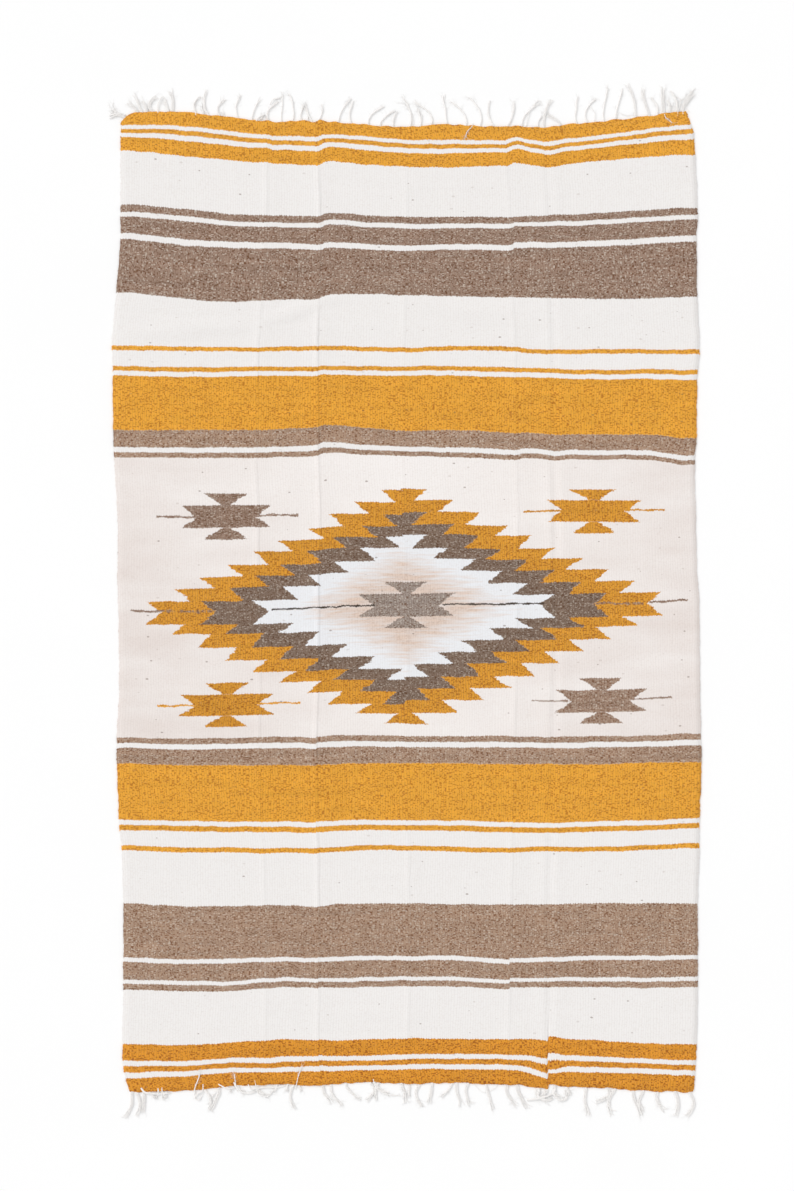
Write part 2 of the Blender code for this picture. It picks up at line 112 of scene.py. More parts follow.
# The head end's left corner is turned in: it drops by this much at the selvedge, and is back in line this far
# across and along.
TURNED_CORNER_DROP = 0.018
TURNED_CORNER_ACROSS = 0.034
TURNED_CORNER_ALONG = 0.026

# The panel stops this far inside its outline, where its yarn turns, in metres
EDGE_INSET = 0.0024

# Where the top face and the underside lie on the square of the bake map
BAKE_MAP = "OFBake"
CUT_MAP = "Cut"
YARN_MAP = "Yarn"
BakeIsland = namedtuple("BakeIsland", "left bottom scale")
TOP_ISLAND = BakeIsland(0.304, 0.5, 0.482)
UNDER_ISLAND = BakeIsland(0.800, 0.5, 0.312)
RIM_SWELL = 0.0010

# Packing folds that run the length of the blanket: where each lies across the cloth, at each of FOLD_MARKS
# from the foot end to the head end, how far its crease reaches on either side, and how high it stands at
# those marks, in millimetres. A crease below zero is a hollow between two soft swells.
FOLD_MARKS = (FOOT_END, -0.55, 0.0, 0.28, HEAD_END)
LongFold = namedtuple("LongFold", "places reach_left reach_right creases")
LONG_FOLDS = rows_of(LongFold, (
    ((-300, -306, -310, -308, -293), 13, 5.0, (0.45, 0.80, 1.20, 1.15, 0.90)),
    ((-191, -193, -187, -179, -189), 11, 4.5, (0.95, 1.50, 2.10, 2.00, 1.10)),
    ((-4, -4, -4, -4, -4), 11, 5.0, (0.70, 0.65, 0.60, 0.60, 0.50)),
    ((206, 211, 224, 232, 202), 12, 5.0, (0.90, 0.90, 0.90, 0.90, 0.70)),
    ((292, 291, 306, 310, 289), 12, 17, (-1.50, -1.80, -2.30, -2.30, -1.10)),
))
FOLD_COLUMNS = (-17, -13, -10.5, -8, -6, -4.5, -3, -1.5, 0, 1.5, 3, 4.5, 6, 8, 10.5, 13, 17)
SWELL_LEAST = 0.5
SWELL_SHARE = 0.5
SWELL_REACH = 42
FOLD_UNEVENNESS = 0.7
FOLD_WAVE = 0.09
FOLD_APART = 5.3

# Where a fold shifts the weft lines, in millimetres: at this place along the fold, the cloth on its right
# lies step nearer to the head than the cloth on its left, which has sagged by sag. The step fades out over
# reach, and comes in over soft, or all at once where soft is zero.
Jog = namedtuple("Jog", "fold along step sag reach soft", defaults=(50, 0))
JOGS = rows_of(Jog, (
    (0, 840, 0, 0, 50, 14),
    (0, 916, -3, -1, 50, 14),
    (0, 982, -3, -1, 50, 14),
    (1, -994, 1, 3),
    (1, -740, 2, 3),
    (1, -400, 2, 3),
    (1, -276, 2, 3),
    (1, -150, 0, 0),
    (1, 250, 0, 0, 50, 12),
    (1, 313, 3, 2, 50, 12),
    (1, 500, 2, 1, 50, 12),
    (1, 560, 0, 1, 50, 12),
    (1, 636, 2, 2, 50, 12),
    (1, 784, 3, 3, 50, 12),
    (1, 982, 3, 3, 50, 12),
    (3, -900, 0, 0),
    (3, -782, 4, 3),
    (3, -700, 2, 1),
    (3, -640, 0, 0),
    (3, 240, 0, 0, 90, 22),
    (3, 303, 6, 3, 90, 22),
    (3, 323, 5, 2, 90, 22),
    (3, 420, 0, 0, 90, 22),
    (3, 660, 0, 0, 120, 10),
    (3, 727, 5, 2, 120, 10),
    (3, 773, 5, 2, 120, 10),
    (3, 797, 1, 2, 120, 10),
    (3, 840, 0, 0, 125, 18),
    (3, 905, 8, 1, 125, 20),
    (3, 955, 10, 1, 125, 28),
    (3, 982, 2, 0, 125, 28),
    (4, -994, 10, 7),
    (4, -965, 14, 18),
    (4, -955, 6, 16),
    (4, -944, 10, 8),
    (4, -934, 11, 7),
    (4, -901, 8, 4),
    (4, -850, 0, 0),
    (4, 240, 0, 0, 40),
    (4, 303, 0, 3, 40),
    (4, 355, 0, 1, 40),
    (4, 420, 0, 0, 40),
    (4, 840, 0, 0),
    (4, 905, 0, 6, 40),
    (4, 955, 0, 6, 40),
    (4, 982, 0, 3, 40),
))
SAG_REACH = 0.070
SAG_CURVE = 1.2
PLEAT_FOLD = 4
PLEAT_DEPTH = 0.0022
PLEAT_HALF_WIDTH = 0.0030
PLEAT_FROM = -0.850
PLEAT_FADE = 0.06

# Soft wrinkles across the wide bands below the head end, in millimetres: each runs straight between two
# points.
Wrinkle = namedtuple("Wrinkle", "from_across from_along to_across to_along half_width rise")
WRINKLES = rows_of(Wrinkle, (
    (-182, 652, 190, 655, 20, 2.0),
    (-560, 553, -300, 588, 30, 2.2),
    (-300, 588, -150, 632, 26, 2.6),
    (0, 626, 270, 580, 34, 1.6),
    (40, 984, 98, 980, 10, 1.5),
    (-420, 925, -390, 985, 14, 1.0),
))
WRINKLE_SPAN = 0.11
WRINKLE_START = 0.15

# Unevenness of the hand weaving, in metres: the cockle of the top face and the wander of the selvedges
COCKLE_RISE = 0.0004
COCKLE_SIZE = 0.055
FINER_COCKLE = 0.5
FINER_COCKLE_SCALE = 2.7
SELVEDGE_WANDER = 0.0014
SELVEDGE_WAVE = 0.028
SELVEDGE_NOISES = ((3.1, 1.0, 0.7, 1.0), (7.7, 3.3, 1.9, 0.5))
END_WANDER = 0.0030
END_WAVE = 0.017
END_WANDER_REACH = 0.012
END_APART = 4.1
END_LEVEL = 2.6

# Stripes of coloured weft, in millimetres along the cloth from the weft table's zero
Stripe = namedtuple("Stripe", "start end colour")
STRIPES = rows_of(Stripe, (
    (957, 1000, "yellow"),
    (940, 949, "yellow"),
    (901, 930, "yellow"),
    (783, 797, "brown"),
    (738, 773, "brown"),
    (636, 727, "brown"),
    (518, 527, "yellow"),
    (479, 488, "yellow"),
    (355, 469, "yellow"),
    (323, 355, "warm brown"),
    (303, 313, "warm brown"),
    (-288, -276, "warm brown"),
    (-332, -299, "warm brown"),
    (-450, -332, "yellow"),
    (-471, -460, "yellow"),
    (-512, -502, "yellow"),
    (-731, -622, "warm brown"),
    (-773, -740, "warm brown"),
    (-793, -781, "warm brown"),
    (-934, -901, "dull yellow"),
    (-955, -944, "dull yellow"),
    (-1010, -965, "dull yellow"),
))
FIELD_FROM = -276
FIELD_TO = 303

# The stepped diamond, in millimetres: each of its rows is a slanted step, and a border starts this far from
# the centre, steps in by STEP_IN with each row, and slants out by SLANT within a row. The rows end this far
# from the centre and lie this far outwards, differently at its two sides, because neither the weaver's beat
# nor the count of warps was even.
DIAMOND_ACROSS = -7.8
DIAMOND_ALONG = -8.3
DiamondRow = namedtuple("DiamondRow", "left_end left_out right_end right_out")
ROWS_ABOVE = rows_of(DiamondRow, (
    (22.3, 0.3, 22.3, -2.8),
    (49.7, -6.9, 47.7, -1.7),
    (71.9, -3.7, 73.7, 0.4),
    (94.9, -5.8, 97.2, -1.0),
    (121.9, -7.6, 119.4, -3.9),
    (143.7, -3.3, 147.7, 6.4),
    (165.5, -14.4, 168.9, 12.6),
    (190.5, -0.1, 195.4, 5.8),
    (215.4, 0.9, 219.8, 3.1),
    (240.4, -1.4, 243.8, 5.7),
))
ROWS_BELOW = rows_of(DiamondRow, (
    (26.7, 2.8, 26.7, -0.3),
    (46.6, 5.3, 46.6, 1.5),
    (75.9, 5.5, 71.0, 0.2),
    (103.1, 2.5, 94.3, -1.5),
    (129.2, 0.6, 118.3, 1.9),
    (151.3, -2.8, 145.2, 4.6),
    (175.9, -3.9, 169.2, 7.0),
    (202.1, 4.5, 193.3, 8.2),
    (222.0, 0.4, 219.8, 6.9),
    (242.5, -2.3, 242.4, -0.4),
))
DIAMOND_SPAN = 270.0
ROW_SHIFT_SPAN = 40.0
STEP_IN = 54.2
SLANT = 31.0
Border = namedtuple("Border", "reach rows")
BORDERS = rows_of(Border, ((503.3, 10), (391.6, 8), (281.3, 6)))

# Small stepped motifs, in millimetres: the box is notched at its two sides, and a bow stands on it and hangs
# below it.
Motif = namedtuple("Motif", "across along colour notch tip box_half bow_height bow_neck bow_tip")
MOTIFS = rows_of(Motif, (
    (-5, -5, "grey", 67, 98, 23.5, 24.5, 8.5, 43),
    (-375, 186, "deep brown", 62, 92, 22.5, 24.0, 8.5, 45),
    (389, 190, "deep yellow", 66, 96, 23.6, 24.0, 8.5, 47),
    (-378, -206, "old yellow", 64, 97, 22.5, 24.0, 8.5, 46),
    (396, -204, "dusty brown", 62, 93, 22.5, 24.0, 8.5, 45),
))

# Single picks of another colour, in millimetres: each runs across from start to end at this place along.
Line = namedtuple("Line", "start end along half_thick colour")
LINES = rows_of(Line, (
    (-284, -70, -5, 1.6, "dark"),
    (70, 281, -5, 1.6, "dark"),
    (-576, -505, -6, 2.1, "deep brown"),
    (498, 578, -6, 1.7, "deep brown"),
    (-520, -437, 186, 1.9, "brown"),
    (-314, -225, 187, 1.9, "brown"),
    (243, 324, 190, 2.0, "deep yellow"),
    (454, 537, 193, 1.9, "deep yellow"),
    (-521, -441, -206, 1.9, "yellow"),
    (-312, -225, -204, 1.7, "yellow"),
    (253, 328, -203, 1.6, "brown"),
    (460, 543, -201, 1.6, "brown"),
))
DOTTED_LINES = rows_of(Line, (
    (-503, -401, -7, 2.3, "deep brown"),
    (380, 486, -8, 2.1, "deep brown"),
))

# Fringe strands from left to right, in millimetres: root is the place across the blanket, lean how far the
# tip lies to the right of it, reach how far it lies from the cloth's end, bow the swell to the right half
# way, girth the width, and fork how far apart the tips lie where the strand parts in two.
Strand = namedtuple("Strand", "root lean reach bow girth fork")
HEAD_STRANDS = rows_of(Strand, (
    (-588, -31, 18, 0, 6, 0),
    (-561, -23, 23, 0, 6, 0),
    (-552, -19, 41, -2, 5, 6),
    (-543, -12, 27, 2, 5, 0),
    (-528, 10, 35, -14, 6, 0),
    (-497, -10, 25, -2, 3, 0),
    (-490, -6, 50, 2, 6, 12),
    (-439, 2, 33, -6, 2, 0),
    (-424, -6, 21, 0, 2, 0),
    (-414, -2, 58, -10, 4, 0),
    (-391, 14, 39, -8, 4, 0),
    (-379, -8, 12, 0, 2, 0),
    (-354, 8, 54, -6, 3, 0),
    (-325, 19, 46, -2, 3, 0),
    (-310, 12, 14, 0, 2, 0),
    (-290, 25, 43, -10, 3, 0),
    (-263, 4, 66, 0, 2, 0),
    (-240, -10, 62, 6, 3, 0),
    (-221, 6, 37, -4, 3, 0),
    (-209, -6, 39, 2, 2, 0),
    (-199, -17, 37, -2, 3, 0),
    (-188, 8, 39, 6, 2, 0),
    (-145, 29, 52, -4, 3, 0),
    (-118, 4, 50, -4, 3, 0),
    (-83, 37, 41, -8, 3, 0),
    (-58, 35, 37, -6, 3, 0),
    (-31, 10, 35, -4, 3, 0),
    (4, -17, 66, 6, 3, 0),
    (25, -6, 41, 2, 3, 0),
    (48, -41, 54, 10, 3, 0),
    (81, -8, 66, -2, 3, 8),
    (120, -39, 56, 10, 3, 0),
    (149, -29, 68, 10, 3, 0),
    (180, -10, 58, -10, 3, 0),
    (205, 12, 58, 8, 4, 0),
    (236, 37, 52, -6, 3, 0),
    (269, 12, 29, -2, 3, 0),
    (281, 17, 62, -4, 5, 0),
    (314, -29, 25, 8, 5, 0),
    (350, 4, 62, -4, 3, 0),
    (374, 17, 52, -12, 3, 0),
    (406, 10, 79, -2, 3, 0),
    (430, 17, 70, 0, 3, 0),
    (472, -19, 72, 4, 5, 0),
    (501, -12, 64, -6, 6, 8),
    (517, -14, 41, 4, 4, 0),
    (530, 0, 60, 0, 7, 12),
    (542, -4, 29, 2, 4, 0),
    (557, -12, 48, 4, 4, 0),
    (568, 27, 46, 0, 7, 0),
))
FOOT_STRANDS = rows_of(Strand, (
    (-574, -17, 60, 4, 6, 12),
    (-565, -2, 52, 8, 6, 0),
    (-550, -2, 48, 2, 6, 0),
    (-538, 14, 15, 0, 4, 0),
    (-511, 10, 17, 0, 4, 0),
    (-424, 6, 48, 12, 5, 0),
    (-393, -19, 50, 2, 6, 0),
    (-377, 12, 14, 0, 4, 0),
    (-354, 17, 19, -4, 6, 0),
    (-312, 25, 25, -8, 5, 0),
    (-273, -8, 19, 2, 4, 0),
    (-250, -4, 19, 0, 4, 0),
    (-238, 4, 54, -8, 5, 0),
    (-226, 6, 14, 0, 4, 0),
    (-178, 23, 41, -4, 6, 0),
    (-161, 29, 48, -6, 5, 0),
    (-130, 37, 39, -6, 5, 0),
    (-81, -8, 41, 12, 5, 0),
    (-70, 4, 43, 2, 4, 0),
    (-60, 25, 27, -10, 5, 0),
    (-14, 10, 46, 2, 6, 0),
    (0, 2, 29, 2, 4, 0),
    (25, 10, 50, -12, 5, 0),
    (50, -8, 50, 0, 6, 0),
    (92, -25, 31, 0, 4, 0),
    (101, 12, 52, -2, 6, 8),
    (126, 6, 50, -8, 5, 12),
    (161, 19, 58, 0, 5, 0),
    (207, 23, 48, -8, 6, 0),
    (226, 25, 54, -2, 7, 10),
    (271, 19, 31, -10, 6, 0),
    (290, -14, 21, 0, 6, 0),
    (308, 17, 33, -10, 6, 0),
    (327, 10, 21, 2, 5, 0),
    (370, 6, 64, -4, 6, 0),
    (412, -29, 35, 15, 7, 0),
    (432, -4, 58, -14, 6, 20),
    (468, 19, 58, -2, 6, 0),
    (490, 2, 52, -10, 6, 6),
    (519, 19, 43, -8, 7, 0),
    (554, 0, 56, 8, 7, 6),
    (584, -10, 56, 12, 6, 0),
))

# Threads that loop or cross others, in millimetres from the weft table's zero. Some lie back over the cloth.
LooseThread = namedtuple("LooseThread", "girth points over", defaults=(False,))
HEAD_THREADS = rows_of(LooseThread, (
    (6.0, ((-585, 1006), (-600, 1010), (-620, 1003))),
    (0.9, ((-596, 1007), (-612, 1019), (-622, 1033))),
    (0.8, ((-594, 1005), (-606, 1020), (-612, 1034))),
    (2.2, ((-517, 1012), (-517, 1029), (-507, 1046), (-497, 1025), (-494, 1008))),
    (2.4, ((-439, 1008), (-440, 1016), (-443, 1031), (-430, 1046), (-422, 1029), (-424, 1007))),
    (2.2, ((-314, 992), (-312, 1000), (-302, 1007), (-293, 1009))),
    (2.0, ((-286, 1030), (-278, 1041), (-262, 1043))),
    (1.2, ((25, 982), (28, 1007), (19, 1023), (12, 1034))),
    (1.2, ((10, 980), (8, 1010), (-10, 1032), (-22, 1036))),
    (1.6, ((244, 984), (250, 1013), (262, 1031), (270, 1038), (279, 1025))),
    (1.4, ((318, 988), (308, 1000), (292, 1010), (276, 1013))),
    (1.4, ((384, 990), (386, 1012), (376, 1030), (393, 1046))),
    (1.0, ((430, 990), (434, 1013), (453, 1007), (470, 1011))),
    (1.8, ((557, 1006), (559, 1019), (563, 1040), (548, 1050), (542, 1064))),
    (2.2, ((569, 1010), (569, 1021), (573, 1040), (596, 1066))),
    (1.2, ((542, 1006), (546, 1031), (571, 1042), (579, 1056))),
    (1.0, ((583, 1014), (567, 1029), (544, 1027), (536, 1044))),
    (1.0, ((540, 1010), (556, 1028), (575, 1030), (588, 1045))),
    (1.4, ((134, 991), (132, 984), (122, 973), (118, 958)), True),
    (1.4, ((530, 1012), (532, 1004), (548, 990)), True),
))
FOOT_THREADS = rows_of(LooseThread, (
    (3.6, ((-552, -1004), (-544, -1013), (-513, -1016), (-488, -1012))),
    (2.4, ((-517, -1004), (-517, -1017), (-523, -1026))),
    (2.0, ((-509, -1003), (-507, -1027), (-497, -1017))),
    (2.6, ((-392, -996), (-379, -1003), (-366, -1005), (-354, -1001))),
    (3.0, ((-360, -992), (-356, -1001), (-347, -1011), (-327, -1015), (-312, -1008))),
    (2.0, ((-317, -988), (-314, -1002), (-309, -1016), (-290, -1021), (-276, -1002), (-273, -988))),
    (2.4, ((-331, -996), (-325, -1006), (-302, -1003), (-273, -1003), (-242, -996))),
    (2.2, ((-424, -996), (-425, -1009), (-434, -1015), (-441, -1025), (-432, -1029), (-426, -1014))),
    (1.4, ((-387, -990), (-390, -1002), (-403, -1019), (-410, -1038))),
    (2.2, ((-72, -986), (-68, -1000), (-54, -1013), (-35, -1019), (-15, -1019))),
    (1.0, ((134, -986), (138, -998), (157, -1013), (182, -1003), (190, -986))),
    (3.6, ((246, -1029), (273, -1025), (298, -1016), (304, -1006))),
    (4.2, ((271, -1004), (271, -1010), (269, -1020), (288, -1030), (303, -1021))),
    (4.6, ((305, -1005), (301, -1015), (312, -1028), (327, -1026), (327, -1011), (337, -1003))),
    (2.0, ((-441, -1018), (-441, -1005), (-432, -980), (-430, -965)), True),
    (1.8, ((-353, -1011), (-356, -999), (-358, -984), (-360, -969)), True),
    (1.8, ((-233, -1007), (-230, -993), (-226, -976), (-217, -953)), True),
))

# Yarn of the fringe, in metres where it is a size
FLOOR_CLEAR = 0.0003
PLY_TWIST = 0.0125
PLY_SIDES = 6
RING_STEP = 0.0018
LOOSE_END = 0.30
FIBRE_GIRTH = 0.00045
FIBRE_SIDES = 3
FIBRE_RINGS = 7
FIBRES_A_BUNCH = (8, 13)
ROOT_DEPTH = 0.006
ROOT_HEIGHT = 0.0014
EMERGE_LENGTH = 0.006
THREAD_ARCH = 0.0016
ARCH_RUN = 1.6
WRIGGLE = 0.0016
LEAN_CURVE = 1.4

# Plies of a warp end: more of them where it is thicker than each of these girths
PLIES_LEAST = 2
PLY_GIRTHS = (0.0025, 0.0045)
PLY_RADIUS_MOST = 0.00095
PLY_APART = 0.55
BUNCH_HEIGHT = 0.0007
PLY_ANGLE = 0.4
PLY_END = 0.88
TWISTS = (0.85, 1.2)
PLY_GIRTH_SPREAD = (0.93, 1.07)
ROOT_GIRTH = 0.7

# How a warp end changes towards its loose end, as shares: less twist, wider, adrift, flatter and thinner
LOOSE_TWIST = 0.35
LOOSE_SPREAD = 0.6
LOOSE_DRIFT = 0.45
LOOSE_FALL = 0.5
LOOSE_THINNING = 0.6

# Single fibres that spring from the warp ends
FIBRE_FIRST = 0.25
FIBRE_LAST = 0.97
FIBRE_LENGTHS = (0.005, 0.014)
FIBRE_VEERS = (0.15, 0.9)
FIBRE_CURL = 1.4
FIBRE_OUT = 0.3
FIBRE_UP = 0.2
FIBRE_FALL = 0.15

# Weft yarn where it turns at the selvedges and ends, in metres
TURN_STEP = 0.0042
TURN_REACH = 0.0014
TURN_RADIUS = 0.00105
TURN_RINGS = 7
TURN_SIDES = 5
PICK_RADIUS = 0.0012
PICK_WAVE = 0.0051
PICK_RINGS_A_WAVE = 4
PICK_SIDES = 6

# Spread of the sizes of those turns, as shares of the sizes above, and how the last picks wave in and out
TURN_REACHES = (0.55, 1.5)
TURN_HALVES = (0.36, 0.46)
TURN_GIRTHS = (0.9, 1.1)
TURN_STEPS = (0.88, 1.12)
TURN_SUNK = 0.6
TURN_TILT = 0.12
PICK_OUT = 0.25
PICK_SWING = 0.2
PICK_SWELL = 0.12

# Camera, which looks straight down on the middle of the view, in metres
VIEW_CENTRE = (-0.0192, 0.0121)
VIEW_HEIGHT = 2.464
CAMERA_HEIGHT = 6.0
SENSOR = 36.0

# Flecks of the heathered yarns: how a dark fleck darkens red, green and blue, the colour that a pale one
# leans to and by how much, the limits of the noise that they come from, and how the share of flecks falls
# with paleness
DARK_FLECK = (0.50, 0.34, 0.24)
DARK_LIMIT = 0.42
PALE_FLECK = (0.86, 0.78, 0.68, 1.0)
PALE_LIMIT = 0.61
PALE_SHARE = 0.53
UNEVENNESS = 0.14
FLECK_START = 1.58
FLECK_SLOPE = -2.2
FLECK_LEAST = 0.08
FLECK_EDGE = 0.09
DARK_SHARE = (-0.10, 1.10)
MILKY_BLUE = 6.0
PALE_START = 1.12
CALMER_FIGURES = 0.10

# Noises of the finishes, in millimetres: each is drawn out this long across and this short along, and start
# keeps it from falling in step with another one.
Noise = namedtuple("Noise", "long short start detail", defaults=(1.0,))
NOISES = {
    "rib wander": Noise(37.0, 160.0, 3.1),
    "beat": Noise(60.0, 45.0, 8.3),
    "bobbin": Noise(420.0, 9.0, 5.9, 2.0),
    "patch": Noise(46.0, 18.0, 12.4, 2.0),
    "dark flecks": Noise(4.8, 1.9, 1.3, 2.0),
    "pale flecks": Noise(4.6, 1.7, 21.7, 2.0),
    "pick wave": Noise(26.0, 4000.0, 0.0),
    "pick girth": Noise(17.0, 4000.0, 0.0),
    "dots": Noise(7.0, 4000.0, 0.4),
    "edge wave": Noise(34.0, 50.0, 2.2, 2.0),
    "edge jitter": Noise(30.0, 3.0, 15.2),
    "edge bow": Noise(26.0, 14.0, 4.4, 2.0),
    "fuzz": Noise(3.0, 1.2, 31.0, 3.0),
    "drift": Noise(240.0, 70.0, 6.6, 2.0),
    "streaks": Noise(60.0, 5.0, 9.4, 2.0),
    "patches": Noise(90.0, 12.0, 17.1, 2.0),
    "paper grain": Noise(0.4, 0.4, 3.0, 3.0),
}
NOISE_START_ALONG = 1.7
NOISE_ROUGHNESS = 0.55

# Weave, in millimetres: how far ribs and picks wander, how far the places of flecks spread within a stitch,
# the picks' share of the relief, and how much further the weft's teeth reach in every other rib
RIB_WANDER = 9.0
PICK_WANDER = 6.0
STITCH_SPREAD = 3.0
PICK_RELIEF = 0.4
ODD_TOOTH = 0.8
TOOTH_LENGTH = 1.5
TOOTH_MIDDLE = 1.1

# Unevenness of the pattern's edges and how soft they are, in millimetres
EDGE_WAVE = 5.0
EDGE_JITTER = 11.0
EDGE_BOW = 15.0
STRIPE_EDGE = 0.9
FIGURE_EDGE = 1.2
PICK_EDGE = 1.0
FIELD_EDGE = 3.0
FIELD_MARGIN = 5
LINE_SWAY = 4.0
LINE_EDGE = 0.8
LINE_END_EDGE = 2.0
LINE_WAVE_START = 0.37
LINE_GIRTH_START = 0.53
DOT_LIMIT = 0.36
DOT_EDGE = 0.30
DOT_COVER = 0.85
CURVE_MARGIN = 0.001

# Neps, in millimetres: about one to a cell, in this share of the cells, which colour the yarn this strongly
Nep = namedtuple("Nep", "cell radius share cover colour")
NEPS = rows_of(Nep, (
    (24.0, 1.4, 0.16, 0.20, (150, 126, 106)),
    (50.0, 1.2, 0.42, 0.55, (112, 86, 66)),
))
NEP_FLATNESS = 0.55
NEP_LEAST = 0.4
NEP_EDGE = 0.015

# Pinker, darker colour of the field: how its share grows with each millimetre to the sides and to the foot
PINK_FIELD = (229, 217, 211)
PINK_SHARE = 0.8
PINK_START = 0.07
PINK_ASIDE = 0.0010
PINK_DOWN = 0.0004

# Beige within the diamond: how far it reaches, in millimetres, and how streaky it is
BLUISH_WHITE = (239, 240, 243)
BEIGE_WARM = (232, 206, 187)
BEIGE_COOL = (216, 201, 193)
BEIGE_ACROSS = 215
BEIGE_ALONG = 122
BEIGE_STREAKS = 0.7
BEIGE_PATCHES = (1.4, 0.25)
BEIGE_LIMIT = 0.86
BEIGE_EDGE = 0.50

# Painted shade in the grooves between the ribs and plies: its colour, and how strongly it shows
WOOL_GROOVE_SHADE = (90, 70, 56)
PLAIN_GROOVE_SHADE = 0.035
STRIPE_GROOVE_SHADE = 0.13
FIGURE_GROOVE_SHADE = 0.26
COTTON_GROOVE_SHADE = (200, 193, 190)
COTTON_SHADE_SHARE = 0.10
STRAND_TWIST = 3.4

# Roughness of each finish, as its growth with the noise or groove and its start, and the strength and
# depth, in metres, of each relief
WOOL_ROUGHNESS = (0.22, 0.80)
COTTON_ROUGHNESS = (0.12, 0.82)
PAPER_ROUGHNESS = (0.1, 0.85)
WOOL_BUMP = (0.5, 0.0006)
COTTON_BUMP = (0.4, 0.0003)
FUZZ_RELIEF = 0.6
PAPER_GREY = (253, 253, 253)
PAPER_WHITE = (255, 255, 255)

# Sockets of a colour mix: its share, its two colours and its result
MIX_COLOUR_INPUTS = (0, 6, 7)
MIX_COLOUR_OUTPUT = 2
FLOAT = "NodeSocketFloat"
COLOUR = "NodeSocketColor"
PLACE = {"Across": 0.0, "Along": 0.0}

# Floor, and the key light's place, heading and spread
FLOOR_LEVEL = -0.0002
KEY_PLACE = (-2.0, 2.0, 3.0)
KEY_HEADING = (0.80, -0.60, 0.0)
KEY_SPREAD = math.radians(24)

SEED = 7


def linear(red, green, blue):
    """Colour on screen, from 0 to 255, as the light values that a shader takes."""
    values = []
    for part in (red, green, blue):
        share = part / 255
        values.append(share / 12.92 if share <= 0.04045 else ((share + 0.055) / 1.055) ** 2.4)
    return (*values, 1.0)


def number(name, description, default, least, most, **more):
    """A number that the panel shows, within its limits."""
    return FloatProperty(name=name, description=description, default=default, min=least, max=most, **more)


def yarn_colour(name, description, *screen):
    """A colour that the panel shows, by default as it looks on screen, from 0 to 255."""
    return FloatVectorProperty(
        name=name, description=description, default=linear(*screen), size=4, min=0.0, max=1.0, subtype="COLOR"
    )


class BlanketSettings(bpy.types.PropertyGroup):
    """Sizes and colours of the blanket that a user would change."""

    thickness: number("Thickness", "Thickness of the cloth", CLOTH_THICKNESS, 0.001, 0.006, unit="LENGTH")
    crease_strength: number("Creases", "Height of folds, as a share of the table's", 1.0, 0.0, 2.0)
    cockle: number("Cockle", "Unevenness of the woven face", COCKLE_RISE, 0.0, 0.002, unit="LENGTH")
    fringe_girth: number("Fringe girth", "Girth of warp ends, as a share of the table's", 1.25, 0.5, 1.5)
    rib_pitch: number("Rib pitch", "Distance between two warp ribs", 0.0051, 0.002, 0.01, unit="LENGTH")
    pick_pitch: number("Pick pitch", "Distance between two picks", 0.0019, 0.001, 0.005, unit="LENGTH")
    yellow: yarn_colour("Ochre wool", "Colour of the ochre yellow weft", 236, 168, 57)
    brown: yarn_colour("Brown wool", "Colour of the grey-brown weft", 156, 130, 113)
    warm_brown: yarn_colour("Warm brown wool", "Colour of the lower stripes' warmer brown", 172, 143, 121)
    grey: yarn_colour("Grey wool", "Colour of the grey weft of the middle motif", 158, 144, 135)
    white: yarn_colour("White wool", "Colour of the off-white weft of the bands", 243, 240, 238)
    field: yarn_colour("Field wool", "Colour of the cream weft round the diamond", 248, 243, 240)
    fringe: yarn_colour("Warp cotton", "Colour of the cotton warp ends", 252, 250, 248)
    seed: IntProperty(name="Seed", description="Seed of the unevenness of the yarns", default=SEED, min=0)


class StudioSettings(bpy.types.PropertyGroup):
    """Floor and light of the studio."""

    floor_size: number("Floor size", "Width of the square floor", 14.0, 4.0, 40.0, unit="LENGTH")
    fill: number("Fill light", "Light that comes evenly from all round", 0.80, 0.0, 2.0)
    key: number("Key light", "Strength of the soft light from the head end's left", 1.05, 0.0, 10.0)
    key_angle: number("Key height", "Angle of the light", math.radians(38), 0.0, math.pi / 2, subtype="ANGLE")


def slope_at(places, values, index):
    """Slope of the smooth curve through the values at one of its places."""
    before = max(index - 1, 0)
    after = min(index + 1, len(places) - 1)
    return (values[after] - values[before]) / (places[after] - places[before])


def smooth_value(places, values, at):
    """Value at one place on the smooth curve through the values, held level past both of its ends."""
    if at <= places[0]:
        return values[0]
    if at >= places[-1]:
        return values[-1]
    right = next(index for index, place in enumerate(places) if place > at)
    left = right - 1
    span = places[right] - places[left]
    t = (at - places[left]) / span
    start_slope = slope_at(places, values, left) * span
    end_slope = slope_at(places, values, right) * span
    change = values[right] - values[left]
    bend = start_slope + end_slope - 2 * change
    return values[left] + t * (start_slope + t * (change - start_slope - bend + t * bend))


def ease(share):
    """A share from 0 to 1, eased at both of its ends."""
    share = min(max(share, 0.0), 1.0)
    return share * share * (3 - 2 * share)


def bump(distance, half_width):
    """A soft ridge's height, as a share of its rise, at this distance from its top line."""
    ratio = abs(distance) / half_width
    return (1 - ratio * ratio) ** 2 if ratio < 1 else 0.0


@lru_cache(maxsize=None)
def weft_line(along):
    """Left end, right end and rises of the weft line at this place along the cloth, in metres."""
    lines = [line.along * MM for line in WEFT_LINES]
    columns = list(zip(*((line.left, line.right, *line.rises) for line in WEFT_LINES)))
    left, right, *rises = (smooth_value(lines, [value * MM for value in column], along) for column in columns)
    return left, right, rises


@lru_cache(maxsize=None)
def fold_at(number, along):
    """Where a long fold lies across the cloth, and how high it stands, at this place along it."""
    fold = LONG_FOLDS[number]
    place = smooth_value(FOLD_MARKS, [value * MM for value in fold.places], along)
    crease = smooth_value(FOLD_MARKS, [value * MM for value in fold.creases], along)
    uneven = 1 + FOLD_UNEVENNESS * noise.noise(Vector((number * FOLD_APART, along / FOLD_WAVE, 0.0)))
    return place, crease * uneven


